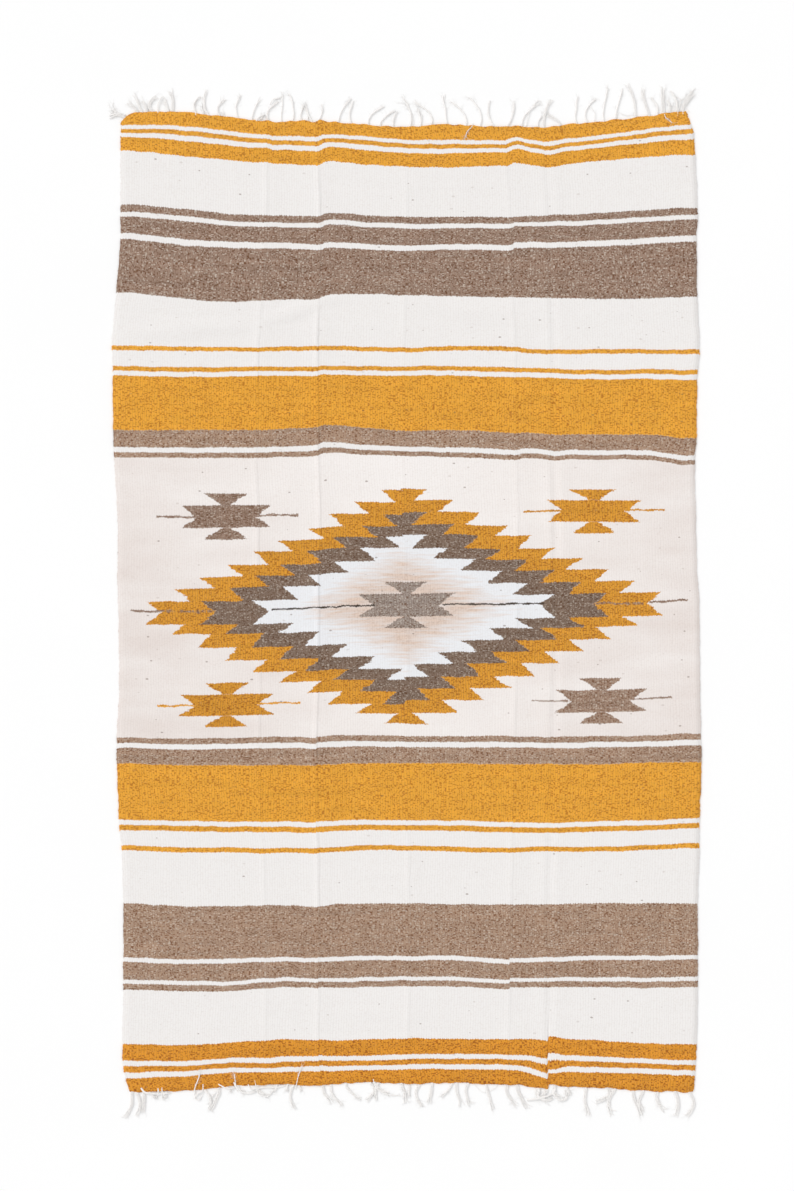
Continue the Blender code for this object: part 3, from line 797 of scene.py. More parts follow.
@lru_cache(maxsize=None)
def jog_at(number, along):
    """Step, sag, reach and softness of a fold's jog at this place along it."""
    marks = [jog for jog in JOGS if jog.fold == number]
    if not marks:
        return 0.0, 0.0, 0.0, 0.0
    places = [jog.along * MM for jog in marks]
    parts = zip(*((jog.step, jog.sag, jog.reach, jog.soft) for jog in marks))
    return tuple(smooth_value(places, [value * MM for value in part], along) for part in parts)


def jog_shift(across, along):
    """How far the folds shift this point of the cloth towards the head end."""
    shift = 0.0
    for number in range(len(LONG_FOLDS)):
        step, sag, reach, soft = jog_at(number, along)
        if not step and not sag:
            continue
        gap = across - fold_at(number, along)[0]
        if -SAG_REACH < gap < 0:
            shift -= sag * (1 + gap / SAG_REACH) ** SAG_CURVE
        elif 0 <= gap < reach:
            come = ease(gap / soft) if soft > MM else 1.0
            shift += (step * come - sag) * (1 - ease(gap / reach))
    return shift


def wrinkle_distance(wrinkle, across, along):
    """Distance from a point of the cloth to a wrinkle's top line, and how far along that line it is."""
    start = Vector((wrinkle.from_across * MM, wrinkle.from_along * MM))
    run = Vector((wrinkle.to_across * MM, wrinkle.to_along * MM)) - start
    point = Vector((across, along)) - start
    share = min(max(point.dot(run) / run.length_squared, 0.0), 1.0)
    return (point - share * run).length, share


def fold_height(number, across, along):
    """Height of one packing fold at a point of the cloth: a soft swell with a sharp crease in its middle."""
    fold = LONG_FOLDS[number]
    place, crease = fold_at(number, along)
    gap = across - place
    if abs(gap) > SWELL_REACH * MM:
        return 0.0
    reach = fold.reach_left if gap < 0 else fold.reach_right
    swell = max(SWELL_LEAST * MM + abs(crease) * SWELL_SHARE, -crease)
    return swell * bump(gap, SWELL_REACH * MM) + crease * bump(gap, reach * MM)


def lift(across, along):
    """Height of the cloth's underside above the floor: zero but for the folds and wrinkles."""
    heights = [fold_height(number, across, along) for number in range(len(LONG_FOLDS))]
    for wrinkle in WRINKLES:
        if abs(along - (wrinkle.from_along + wrinkle.to_along) / 2 * MM) > WRINKLE_SPAN:
            continue
        distance, share = wrinkle_distance(wrinkle, across, along)
        fading = math.sin(math.pi * (WRINKLE_START + (1 - 2 * WRINKLE_START) * share))
        heights.append(wrinkle.rise * MM * fading * bump(distance, wrinkle.half_width * MM))
    return math.hypot(*heights)


def pleat_depth(across, along):
    """How deep the sharp pleat at the foot end cuts into the top face."""
    if along > PLEAT_FROM:
        return 0.0
    place = fold_at(PLEAT_FOLD, along)[0]
    fading = min((PLEAT_FROM - along) / PLEAT_FADE, 1.0)
    return PLEAT_DEPTH * fading * bump(across - place, PLEAT_HALF_WIDTH)


def corner_drop(across, along):
    """How far the turned-in corner at the head end's left lies below the line of that end."""
    from_side = (across + LOOM_WIDTH / 2) / TURNED_CORNER_ACROSS
    from_end = (HEAD_END - along) / TURNED_CORNER_ALONG
    return TURNED_CORNER_DROP * max(1 - from_side, 0.0) ** 2 * max(1 - from_end, 0.0)


def selvedge_wander(side, along):
    """Small unevenness of a selvedge, to its own side."""
    wander = 0.0
    for place, scale, level, share in SELVEDGE_NOISES:
        wander += share * noise.noise(Vector((side * place, along / SELVEDGE_WAVE * scale, level)))
    return side * SELVEDGE_WANDER * wander


def end_wander(across, along):
    """Small unevenness of the last picks at either end, where they slip between the warp ends."""
    from_end = min(HEAD_END - along, along - FOOT_END)
    if from_end >= END_WANDER_REACH:
        return 0.0
    way = 1 if along > 0 else -1
    wave = noise.noise(Vector((across / END_WAVE, way * END_APART, END_LEVEL)))
    return way * END_WANDER * wave * (1 - from_end / END_WANDER_REACH)


def on_surface(across, along, strength=1.0):
    """Where a point of the cloth's underside lies in the frame."""
    left, right, rises = weft_line(along)
    left += EDGE_INSET + selvedge_wander(-1, along)
    right -= EDGE_INSET - selvedge_wander(1, along)
    x = left + (right - left) * (across / LOOM_WIDTH + 0.5)
    places = [place * MM for place in RISE_PLACES]
    y = along + smooth_value(places, rises, across) - corner_drop(across, along)
    y += jog_shift(across, along) + end_wander(across, along)
    return Vector((x, y, lift(across, along) * strength)) + SHIFT


def across_of(x, along):
    """Place across the loom of a point that lies this far across the blanket on a weft line."""
    left, right, rises = weft_line(along)
    return ((x - left) / (right - left) - 0.5) * LOOM_WIDTH


def spread(start, end, step):
    """Places from start up to, but not with, end, evenly spaced and no further apart than step."""
    count = max(math.ceil(abs(end - start) / step), 1)
    return [start + (end - start) * index / count for index in range(count)]


def column_marks(along):
    """Both selvedges and the columns over each long fold, left to right."""
    marks = [-LOOM_WIDTH / 2]
    for number in range(len(LONG_FOLDS)):
        place = fold_at(number, along)[0]
        marks += [place + gap * MM for gap in FOLD_COLUMNS]
    return marks + [LOOM_WIDTH / 2]


def column_places(along):
    """Places across the cloth of its columns at this weft line, close together over the folds."""
    level = column_marks(0.0)
    marks = column_marks(along)
    places = []
    for index in range(len(marks) - 1):
        count = len(spread(level[index], level[index + 1], COLUMN_STEP))
        width = marks[index + 1] - marks[index]
        places += [marks[index] + width * part / count for part in range(count)]
    return places + [marks[-1]]


def row_places():
    """Places along the cloth of its rows, from foot to head, close together over the wrinkles."""
    rows = spread(FOOT_END, WRINKLED_FROM, ROW_STEP)
    rows += spread(WRINKLED_FROM, WRINKLED_TO, WRINKLED_ROW_STEP)
    rows += spread(WRINKLED_TO, HEAD_END, ROW_STEP)
    return rows + [HEAD_END]


def put_in_scene(name, points, faces, maps, slot, settings):
    """Make one smooth piece at the origin from points, faces and each corner's places, and set it riding."""
    mesh = bpy.data.meshes.new(name)
    mesh.from_pydata([tuple(point) for point in points], [], faces)
    for map_name, corners in maps.items():
        layer = mesh.uv_layers.new(name=map_name)
        layer.data.foreach_set("uv", [value for corner in corners for value in corner])
    mesh.materials.append(finish(*FINISHES[slot], settings))
    mesh.shade_smooth()
    mesh.validate()
    piece = bpy.data.objects.new(name, mesh)
    bpy.context.scene.collection.objects.link(piece)
    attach(piece, BODY)
    return piece


def on_island(island, point):
    """Place on the bake square of a point of the cloth."""
    return island.left + point.x * island.scale, island.bottom + point.y * island.scale


def cloth_grid(settings):
    """Rows of cloth points from foot to head: each is (place on the cut, underside, top face)."""
    grid = []
    for along in row_places():
        row = []
        for across in column_places(along):
            under = on_surface(across, along, settings.crease_strength)
            cockle = noise.noise(under / COCKLE_SIZE)
            cockle += FINER_COCKLE * noise.noise(under / COCKLE_SIZE * FINER_COCKLE_SCALE)
            rise = settings.thickness + settings.cockle * cockle - pleat_depth(across, along)
            row.append(((across, along), under, under + Vector((0, 0, rise))))
        grid.append(row)
    return grid


def rim_path(row_count, column_count):
    """Rows and columns of the points round the cloth's edge, clockwise from above, with the way outwards."""
    last_row, last_column = row_count - 1, column_count - 1
    path = [(row, 0) for row in range(row_count)]
    path += [(last_row, column) for column in range(1, column_count)]
    path += [(row, last_column) for row in range(last_row - 1, -1, -1)]
    path += [(0, column) for column in range(last_column - 1, 0, -1)]
    outward = []
    for row, column in path:
        aside = (column == last_column) - (column == 0)
        ahead = (row == last_row) - (row == 0)
        outward.append(Vector((aside, ahead, 0)).normalized())
    return path, outward


def make_cloth(settings):
    """The woven panel: a thin wall with a rounded edge over the table's folds and wrinkles."""
    grid = cloth_grid(settings)
    row_count, column_count = len(grid), len(grid[0])
    path, outward = rim_path(row_count, column_count)
    points, cuts = [], []
    for side in (1, 2):
        for row in grid:
            points += [entry[side] for entry in row]
            cuts += [entry[0] for entry in row]
    first_rim = len(points)
    for (row, column), way in zip(path, outward):
        cut, under, over = grid[row][column]
        points.append((under + over) / 2 + way * RIM_SWELL)
        cuts.append(cut)
    level = row_count * column_count
    faces, islands = [], []
    for row in range(row_count - 1):
        for column in range(column_count - 1):
            low = row * column_count + column
            high = low + column_count
            faces.append((low, high, high + 1, low + 1))
            islands.append(UNDER_ISLAND)
            faces.append((level + low, level + low + 1, level + high + 1, level + high))
            islands.append(TOP_ISLAND)
    for index in range(len(path)):
        following = (index + 1) % len(path)
        here = path[index][0] * column_count + path[index][1]
        there = path[following][0] * column_count + path[following][1]
        middle_here, middle_there = first_rim + index, first_rim + following
        faces.append((level + here, level + there, middle_there, middle_here))
        islands.append(TOP_ISLAND)
        faces.append((middle_here, middle_there, there, here))
        islands.append(UNDER_ISLAND)
    maps = {
        CUT_MAP: [cuts[corner] for face in faces for corner in face],
        BAKE_MAP: [
            on_island(island, points[corner]) for face, island in zip(faces, islands) for corner in face
        ],
    }
    piece = put_in_scene("cloth_panel", points, faces, maps, "woven_wool", settings)
    piece.data.uv_layers[CUT_MAP].active_render = True
    return piece


class YarnMesh:
    """Points, faces and UV places of many tubes of yarn that make one piece."""

    def __init__(self):
        self.points = []
        self.faces = []
        self.corners = []

    def add_tube(self, path, radii, sides, place):
        """Add a closed tube along a path; place(around, index) gives the UV place of its corners."""
        first = len(self.points)
        for index, (point, radius) in enumerate(zip(path, radii)):
            before = path[max(index - 1, 0)]
            after = path[min(index + 1, len(path) - 1)]
            travel = (after - before).normalized()
            aside = travel.cross(Vector((0, 0, 1)))
            aside = aside.normalized() if aside.length > 1e-6 else Vector((1, 0, 0))
            upward = aside.cross(travel)
            for side in range(sides):
                angle = 2 * math.pi * side / sides
                self.points.append(point + radius * (math.cos(angle) * aside + math.sin(angle) * upward))
        for index in range(len(path) - 1):
            for side in range(sides):
                following = (side + 1) % sides
                here, there = first + index * sides, first + (index + 1) * sides
                self.faces.append((here + side, here + following, there + following, there + side))
                self.corners += [place(side / sides, index), place((side + 1) / sides, index)]
                self.corners += [place((side + 1) / sides, index + 1), place(side / sides, index + 1)]
        last = first + (len(path) - 1) * sides
        self.faces.append(tuple(first + side for side in range(sides - 1, -1, -1)))
        self.corners += [place(side / sides, 0) for side in range(sides - 1, -1, -1)]
        self.faces.append(tuple(last + side for side in range(sides)))
        self.corners += [place(side / sides, len(path) - 1) for side in range(sides)]


def make_selvedge_turns(settings, rng):
    """Weft yarn where it turns round the outermost warp, down both selvedges."""
    yarn = YarnMesh()
    for side in (-1, 1):
        along = FOOT_END + TURN_STEP
        while along < HEAD_END - TURN_STEP:
            edge = on_surface(side * LOOM_WIDTH / 2, along, settings.crease_strength)
            reach = TURN_REACH * rng.uniform(*TURN_REACHES)
            half = TURN_STEP * rng.uniform(*TURN_HALVES)
            path = []
            for ring in range(TURN_RINGS):
                angle = math.pi * (ring / (TURN_RINGS - 1) - 0.5)
                out = side * (reach * math.cos(angle) - TURN_RADIUS * TURN_SUNK)
                middle = settings.thickness * (0.5 + TURN_TILT * math.sin(angle))
                path.append(edge + Vector((out, half * math.sin(angle), middle)))
            radii = [TURN_RADIUS * rng.uniform(*TURN_GIRTHS)] * TURN_RINGS
            cut = (side * LOOM_WIDTH / 2, along)
            yarn.add_tube(path, radii, TURN_SIDES, lambda around, index: (cut[0], cut[1] + around * MM))
            along += TURN_STEP * rng.uniform(*TURN_STEPS)
    maps = {CUT_MAP: yarn.corners}
    return put_in_scene("selvedge_turns", yarn.points, yarn.faces, maps, "woven_wool", settings)


def make_end_picks(settings):
    """The last pick of weft at each end, which passes over and under the warp."""
    yarn = YarnMesh()
    for along, outward in ((FOOT_END, -1), (HEAD_END, 1)):
        count = round(LOOM_WIDTH / PICK_WAVE) * PICK_RINGS_A_WAVE
        path, cuts = [], []
        for step in range(count + 1):
            across = LOOM_WIDTH * (step / count - 0.5)
            wave = math.cos(2 * math.pi * step / PICK_RINGS_A_WAVE)
            point = on_surface(across, along, settings.crease_strength)
            out = outward * PICK_RADIUS * (PICK_OUT + PICK_SWING * wave)
            point += Vector((0, out, settings.thickness * 0.5))
            path.append(point)
            cuts.append(across)
        radii = [PICK_RADIUS * (1 + PICK_SWELL * math.cos(math.pi * step / 2)) for step in range(count + 1)]
        yarn.add_tube(
            path, radii, PICK_SIDES, lambda around, index: (cuts[index], along + (around - 0.5) * MM)
        )
    maps = {CUT_MAP: yarn.corners}
    return put_in_scene("end_picks", yarn.points, yarn.faces, maps, "woven_wool", settings)


def smooth_path(points, step):
    """Points this far apart on the smooth curve through a few points, with each one's share of the way."""
    marks = [0.0]
    for start, end in zip(points, points[1:]):
        marks.append(marks[-1] + (end - start).length)
    count = max(math.ceil(marks[-1] / step), 4)
    path = []
    for index in range(count + 1):
        at = marks[-1] * index / count
        path.append(Vector([smooth_value(marks, [point[axis] for point in points], at) for axis in range(3)]))
    return path, marks[-1]


def end_place(x, outward):
    """Point of the cloth's end line, on the floor, this far across the blanket in the weft table's metres."""
    along = HEAD_END if outward > 0 else FOOT_END
    point = on_surface(across_of(x, along), along)
    point.z = 0.0
    return point


def emerged(index, rooted):
    """How far a warp end has come out of the cloth at this ring of its path: 0 inside it, 1 when clear."""
    if not rooted:
        return 1.0
    return ease((index * RING_STEP - ROOT_DEPTH) / EMERGE_LENGTH)


def lay_bunch(yarn, path, length, girth, fork, rooted, rng):
    """Plies of cotton twisted into one warp end along a path, loose and frayed towards its tip."""
    plies = PLIES_LEAST + sum(girth >= limit for limit in PLY_GIRTHS)
    ply_radius = min(girth * 0.25, PLY_RADIUS_MOST)
    wide = max(girth / 2 - ply_radius, ply_radius * PLY_APART)
    high = min(wide, BUNCH_HEIGHT)
    turn = rng.uniform(0, 2 * math.pi)
    twist = PLY_TWIST * rng.uniform(*TWISTS)
    for ply in range(plies):
        own_angle = rng.uniform(-PLY_ANGLE, PLY_ANGLE)
        own_drift = rng.uniform(-1.0, 1.0)
        own_end = rng.uniform(PLY_END, 1.0)
        count = max(int((len(path) - 1) * own_end), 3)
        way = ply / (plies - 1) * 2 - 1
        line, radii = [], []
        for index in range(count + 1):
            share = index / (len(path) - 1)
            travel = path[min(index + 1, len(path) - 1)] - path[max(index - 1, 0)]
            aside = travel.cross(Vector((0, 0, 1))).normalized()
            loose = max((share - 1 + LOOSE_END) / LOOSE_END, 0.0)
            clear = emerged(index, rooted)
            turns = ply / plies + share * length / twist * (1 - LOOSE_TWIST * loose)
            angle = turn + own_angle + 2 * math.pi * turns
            offset = math.cos(angle) * wide * (0.5 + 0.5 * clear) * (1 + LOOSE_SPREAD * loose)
            offset += loose * loose * (way * fork / 2 + own_drift * girth * LOOSE_DRIFT)
            lying = FLOOR_CLEAR + ply_radius + high * (1 + math.sin(angle)) * (1 - LOOSE_FALL * loose)
            point = path[index] + aside * offset
            point.z += lying * clear + ROOT_HEIGHT * (1 - clear)
            line.append(point)
            thick = (ROOT_GIRTH + (1 - ROOT_GIRTH) * clear) * (1 - LOOSE_THINNING * loose ** 1.5)
            radii.append(ply_radius * thick * rng.uniform(*PLY_GIRTH_SPREAD))
        start, step = rng.uniform(0, 1), length / (len(path) - 1)
        yarn.add_tube(line, radii, PLY_SIDES, lambda around, index: (around, start + index * step))
    for fibre in range(rng.randint(*FIBRES_A_BUNCH)):
        add_fibre(yarn, path, girth, rng)


def add_fibre(yarn, path, girth, rng):
    """One thin fibre that springs from a warp end, mostly towards its tip."""
    share = FIBRE_FIRST + (FIBRE_LAST - FIBRE_FIRST) * math.sqrt(rng.uniform(0.0, 1.0))
    start = max(int((len(path) - 2) * share), 1)
    travel = (path[start + 1] - path[start - 1]).normalized()
    aside = travel.cross(Vector((0, 0, 1))).normalized()
    length = rng.uniform(*FIBRE_LENGTHS)
    veer = rng.choice((-1, 1)) * rng.uniform(*FIBRE_VEERS)
    curl = rng.uniform(-FIBRE_CURL, FIBRE_CURL)
    line = []
    point = path[start] + aside * math.copysign(girth * FIBRE_OUT, veer)
    point.z += FLOOR_CLEAR + FIBRE_GIRTH + girth * FIBRE_UP
    for ring in range(FIBRE_RINGS):
        share = ring / (FIBRE_RINGS - 1)
        heading = veer + curl * share
        point = point + (travel * math.cos(heading) + aside * math.sin(heading)) * length / FIBRE_RINGS
        point.z = max(point.z * (1 - FIBRE_FALL * share), path[start].z + FLOOR_CLEAR + FIBRE_GIRTH)
        line.append(point.copy())
    radii = [FIBRE_GIRTH / 2 * (1 - 0.5 * ring / FIBRE_RINGS) for ring in range(FIBRE_RINGS)]
    yarn.add_tube(line, radii, FIBRE_SIDES, lambda around, index: (around, index * length / FIBRE_RINGS))


def strand_points(strand, outward, rng):
    """A few points on the middle line of a warp end, from inside the cloth's edge to its tip."""
    root = end_place(strand.root * MM, outward)
    lean, bow, reach = strand.lean * MM, strand.bow * MM, strand.reach * MM
    points = [root + Vector((0, -outward * ROOT_DEPTH, 0))]
    for share in (0.0, 0.25, 0.5, 0.75, 1.0):
        wriggle = rng.uniform(-1, 1) * WRIGGLE * math.sin(math.pi * share)
        aside = lean * share ** LEAN_CURVE + bow * math.sin(math.pi * share) + wriggle
        points.append(root + Vector((aside, outward * reach * share, 0)))
    return points


def cloth_cover(point):
    """1 where a point lies well within the cloth's ends, 0 beyond them, and between the two near them."""
    x = point.x - SHIFT.x
    inside = min(end_place(x, 1).y - point.y, point.y - end_place(x, -1).y)
    return ease((inside + EMERGE_LENGTH / 3) / EMERGE_LENGTH)


def make_fringe(name, node, strands, threads, outward, settings, rng):
    """All the warp ends of one end of the blanket: twisted bunches and loose threads."""
    yarn = YarnMesh()
    for strand in strands:
        path, length = smooth_path(strand_points(strand, outward, rng), RING_STEP)
        girth = strand.girth * MM * settings.fringe_girth
        lay_bunch(yarn, path, length, girth, strand.fork * MM, True, rng)
    for thread in threads:
        points = [Vector((x * MM, y * MM, 0)) + SHIFT for x, y in thread.points]
        path, length = smooth_path(points, RING_STEP)
        for index, point in enumerate(path):
            share = index / (len(path) - 1)
            arch = THREAD_ARCH * math.sin(math.pi * min(share * ARCH_RUN, 1.0))
            cover = cloth_cover(point)
            level = settings.thickness if thread.over else ROOT_HEIGHT / 2
            point.z = level * cover + arch * (1 - cover)
        lay_bunch(yarn, path, length, thread.girth * MM * settings.fringe_girth, 0.0, False, rng)
    maps = {YARN_MAP: yarn.corners}
    piece = put_in_scene(name, yarn.points, yarn.faces, maps, "cotton_warp", settings)
    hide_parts(node)
    return piece


class Net:
    """A shader tree in the making: its methods add nodes. A value is a number, colour or output."""

    def __init__(self, tree):
        self.tree = tree

    def node(self, kind, **settings):
        """Add a node of this kind and set it up."""
        node = self.tree.nodes.new("ShaderNode" + kind)
        for name, value in settings.items():
            setattr(node, name, value)
        return node

    def feed(self, socket, value):
        """Set a socket to a number or colour, or link it to another node's output."""
        if isinstance(value, bpy.types.NodeSocket):
            self.tree.links.new(value, socket)
        else:
            socket.default_value = value

    def maths(self, operation, *values, clamp=False):
        """One step of arithmetic."""
        node = self.node("Math", operation=operation, use_clamp=clamp)
        for socket, value in zip(node.inputs, values):
            self.feed(socket, value)
        return node.outputs[0]

    plus = partialmethod(maths, "ADD")
    minus = partialmethod(maths, "SUBTRACT")
    over = partialmethod(maths, "DIVIDE")
    scaled = partialmethod(maths, "MULTIPLY_ADD")
    size = partialmethod(maths, "ABSOLUTE")
    larger = partialmethod(maths, "MAXIMUM")
    whole = partialmethod(maths, "FLOOR")
    fraction = partialmethod(maths, "FRACT")
    is_more = partialmethod(maths, "GREATER_THAN")
    is_less = partialmethod(maths, "LESS_THAN")

    def times(self, first, *others, clamp=False):
        """The product of two or more values."""
        for other in others:
            first = self.maths("MULTIPLY", first, other, clamp=clamp)
        return first

    def vector_math(self, operation, first, socket, second):
        """One step of arithmetic on each part of a colour."""
        node = self.node("VectorMath", operation=operation)
        self.feed(node.inputs[0], first)
        self.feed(node.inputs[socket], second)
        return node.outputs[0]

    def below(self, value, limit, soft):
        """1 where the value is under the limit and 0 where it is over, with an edge this soft."""
        return self.scaled(self.minus(limit, value), 1.0 / soft, 0.5, clamp=True)

    def mix(self, share, first, second):
        """The first colour, turning into the second as share goes from 0 to 1."""
        node = self.node("Mix", data_type="RGBA", clamp_factor=True)
        for socket, value in zip(MIX_COLOUR_INPUTS, (share, first, second)):
            self.feed(node.inputs[socket], value)
        return node.outputs[MIX_COLOUR_OUTPUT]

    def join(self, across, along):
        """A flat place from its two parts."""
        node = self.node("CombineXYZ")
        self.feed(node.inputs["X"], across)
        self.feed(node.inputs["Y"], along)
        return node.outputs[0]

    def split(self, value, kind="SeparateColor"):
        """The parts of a colour or a place."""
        node = self.node(kind)
        self.feed(node.inputs[0], value)
        return node.outputs

    def noise(self, across, along, name, start=0.0):
        """Smooth noise from about 0.3 to 0.7, of the table's size."""
        shape = NOISES[name]
        start += shape.start
        place = self.join(
            self.scaled(across, 1.0 / shape.long, start),
            self.scaled(along, 1.0 / shape.short, start * NOISE_START_ALONG),
        )
        node = self.node("TexNoise", noise_dimensions="2D")
        values = {"Scale": 1.0, "Detail": shape.detail, "Roughness": NOISE_ROUGHNESS, "Vector": place}
        for socket, value in values.items():
            self.feed(node.inputs[socket], value)
        return node.outputs[0]

    def swayed(self, value, wave, reach):
        """A value moved to and fro by a noise, by up to half this reach."""
        return self.scaled(wave, reach, self.minus(value, reach / 2))

    def group(self, name, **values):
        """Place a node group and feed its inputs by name, where _ stands for a space. Gives its outputs."""
        node = self.node("Group", node_tree=bpy.data.node_groups[name])
        for label, value in values.items():
            self.feed(node.inputs[label.replace("_", " ")], value)
        return node.outputs

    def curve(self, marks, value):
        """A curve of straight pieces through marks, whose numbers run from 0 to 1, read at a value."""
        node = self.node("FloatCurve")
        points = node.mapping.curves[0].points
        points[0].location = (0.0, marks[0][1])
        points[1].location = (1.0, marks[-1][1])
        for place, level in marks:
            points.new(place, level).handle_type = "VECTOR"
        node.mapping.update()
        self.feed(node.inputs["Value"], value)
        return node.outputs[0]


class GroupNet(Net):
    """The net of a new node group: given holds what is fed to it, and give sets an output."""

    def __init__(self, name, inputs, outputs):
        super().__init__(bpy.data.node_groups.new(name, "ShaderNodeTree"))
        sockets = self.tree.interface
        for label, value in inputs.items():
            kind = COLOUR if isinstance(value, tuple) else FLOAT
            sockets.new_socket(label, in_out="INPUT", socket_type=kind).default_value = value
        for label in outputs:
            kind = COLOUR if label == "Color" else FLOAT
            sockets.new_socket(label, in_out="OUTPUT", socket_type=kind)
        self.given = self.tree.nodes.new("NodeGroupInput").outputs
        self.sink = self.tree.nodes.new("NodeGroupOutput").inputs

    def give(self, label, value):
        """Set one of the group's outputs."""
        self.feed(self.sink[label], value)


def build_weave_group(name):
    """Relief of a weft-faced weave: ribs over the warp, each crossed by picks that lie half a pick apart."""
    inputs = {**PLACE, "Rib pitch": 5.1, "Pick pitch": 1.9}
    net = GroupNet(name, inputs, ("Height", "Rib", "Tooth", "Stitch across", "Stitch along"))
    across, along, rib_pitch, pick_pitch = net.given[:4]
    shifted = net.scaled(net.noise(across, along, "rib wander"), RIB_WANDER, across)
    rib_place = net.over(shifted, rib_pitch)
    rib_part, rib_number = net.fraction(rib_place), net.whole(rib_place)
    odd = net.times(net.maths("PINGPONG", rib_number, 1.0), 0.5)
    pick_at = net.scaled(net.noise(across, along, "beat"), PICK_WANDER, along)
    pick_place = net.plus(net.over(pick_at, pick_pitch), odd)
    pick_part, pick_number = net.fraction(pick_place), net.whole(pick_place)
    net.give("Stitch across", net.scaled(rib_part, STITCH_SPREAD, net.times(rib_number, rib_pitch)))
    net.give("Stitch along", net.times(pick_number, pick_pitch))
    rounds = []
    for part in (rib_part, pick_part):
        centred = net.scaled(part, 2.0, -1.0)
        rounds.append(net.minus(1.0, net.times(centred, centred)))
    net.give("Height", net.scaled(rounds[0], 1.0 - PICK_RELIEF, net.times(rounds[1], PICK_RELIEF)))
    net.give("Rib", rounds[0])
    net.give("Tooth", net.scaled(rounds[0], 1.0, net.times(odd, ODD_TOOTH)))


def build_heather_group(name):
    """Heathered yarn: short dark and pale flecks over a base colour, and bobbins that differ a little."""
    net = GroupNet(name, {**PLACE, "Base": (0.5, 0.5, 0.5, 1.0), "Strength": 1.0}, ("Color",))
    across, along, base, strength = net.given[:4]
    tone = net.plus(net.noise(across, along, "bobbin"), net.noise(across, along, "patch"))
    tone = net.times(net.scaled(tone, 2.0, -2.0), strength)
    shade = net.vector_math("SCALE", base, "Scale", net.scaled(tone, UNEVENNESS, 1.0))
    darker = net.vector_math("MULTIPLY", shade, 1, DARK_FLECK)
    parts = net.split(base)
    milky = net.scaled(parts["Blue"], MILKY_BLUE, 0.0, clamp=True)
    dark = net.below(net.noise(across, along, "dark flecks"), DARK_LIMIT, FLECK_EDGE)
    dark = net.times(dark, strength, net.scaled(milky, *DARK_SHARE))
    pale = net.below(PALE_LIMIT, net.noise(across, along, "pale flecks"), FLECK_EDGE)
    pale_share = net.scaled(parts["Red"], -PALE_SHARE, PALE_SHARE * PALE_START)
    pale = net.times(pale, strength, net.times(pale_share, milky))
    net.give("Color", net.mix(pale, net.mix(dark, shade, darker), PALE_FLECK))


def build_nep_group(name):
    """Scattered neps: small knots of another fibre, about one to a cell."""
    net = GroupNet(name, {**PLACE, "Cell": 30.0, "Radius": 1.5, "Share": 0.4}, ("Mask",))
    across, along, cell, radius, share = net.given[:5]
    place = net.join(net.over(net.times(across, NEP_FLATNESS), cell), net.over(along, cell))
    cells = net.node("TexVoronoi", voronoi_dimensions="2D")
    net.feed(cells.inputs["Scale"], 1.0)
    net.feed(cells.inputs["Vector"], place)
    chance = net.split(cells.outputs["Color"])
    reach = net.times(net.over(radius, cell), net.plus(chance["Green"], NEP_LEAST))
    near = net.below(cells.outputs["Distance"], reach, NEP_EDGE)
    net.give("Mask", net.times(near, net.is_less(chance["Red"], share)))


def build_stripe_group(name):
    """Masks of the stripes of each colour, from the table."""
    colours = sorted({stripe.colour for stripe in STRIPES})
    net = GroupNet(name, {"Along": 0.0}, [colour.capitalize() for colour in colours])
    for colour in colours:
        total = 0.0
        for stripe in STRIPES:
            if stripe.colour == colour:
                distance = net.size(net.minus(net.given["Along"], (stripe.start + stripe.end) / 2))
                inside = net.below(distance, (stripe.end - stripe.start) / 2, STRIPE_EDGE)
                total = net.plus(total, inside, clamp=True)
        net.give(colour.capitalize(), total)


def row_count_at(net, along, side):
    """Rows of the diamond between its centre and a place along the cloth, with the part of the last one."""
    ends_above = [getattr(row, side) for row in ROWS_ABOVE]
    ends_below = [getattr(row, side) for row in ROWS_BELOW]
    row_total = len(ends_above)
    marks = [(-end, index + 1) for index, end in enumerate(ends_below)][::-1]
    marks += [(0.0, 0)] + [(end, index + 1) for index, end in enumerate(ends_above)]
    marks = [(0.5 + place / DIAMOND_SPAN / 2, count / (row_total + 1)) for place, count in marks]
    marks = [(CURVE_MARGIN, 1.0)] + marks + [(1 - CURVE_MARGIN, 1.0)]
    at = net.scaled(along, 0.5 / DIAMOND_SPAN, 0.5, clamp=True)
    return net.times(net.curve(marks, at), row_total + 1)


def row_shift_at(net, row, above, right):
    """How far outwards a row of the diamond lies; above and right are 1 or 0."""
    values = []
    for rows in (ROWS_BELOW, ROWS_ABOVE):
        values += [step.left_out for step in rows]
        values += [step.right_out for step in rows]
    marks = [
        ((index + 0.5) / len(values), 0.5 + value / ROW_SHIFT_SPAN) for index, value in enumerate(values)
    ]
    place = net.scaled(net.scaled(above, 2.0, right), len(ROWS_ABOVE), row)
    place = net.scaled(place, 1 / len(values), 0.5 / len(values))
    return net.times(net.minus(net.curve(marks, place), 0.5), ROW_SHIFT_SPAN)


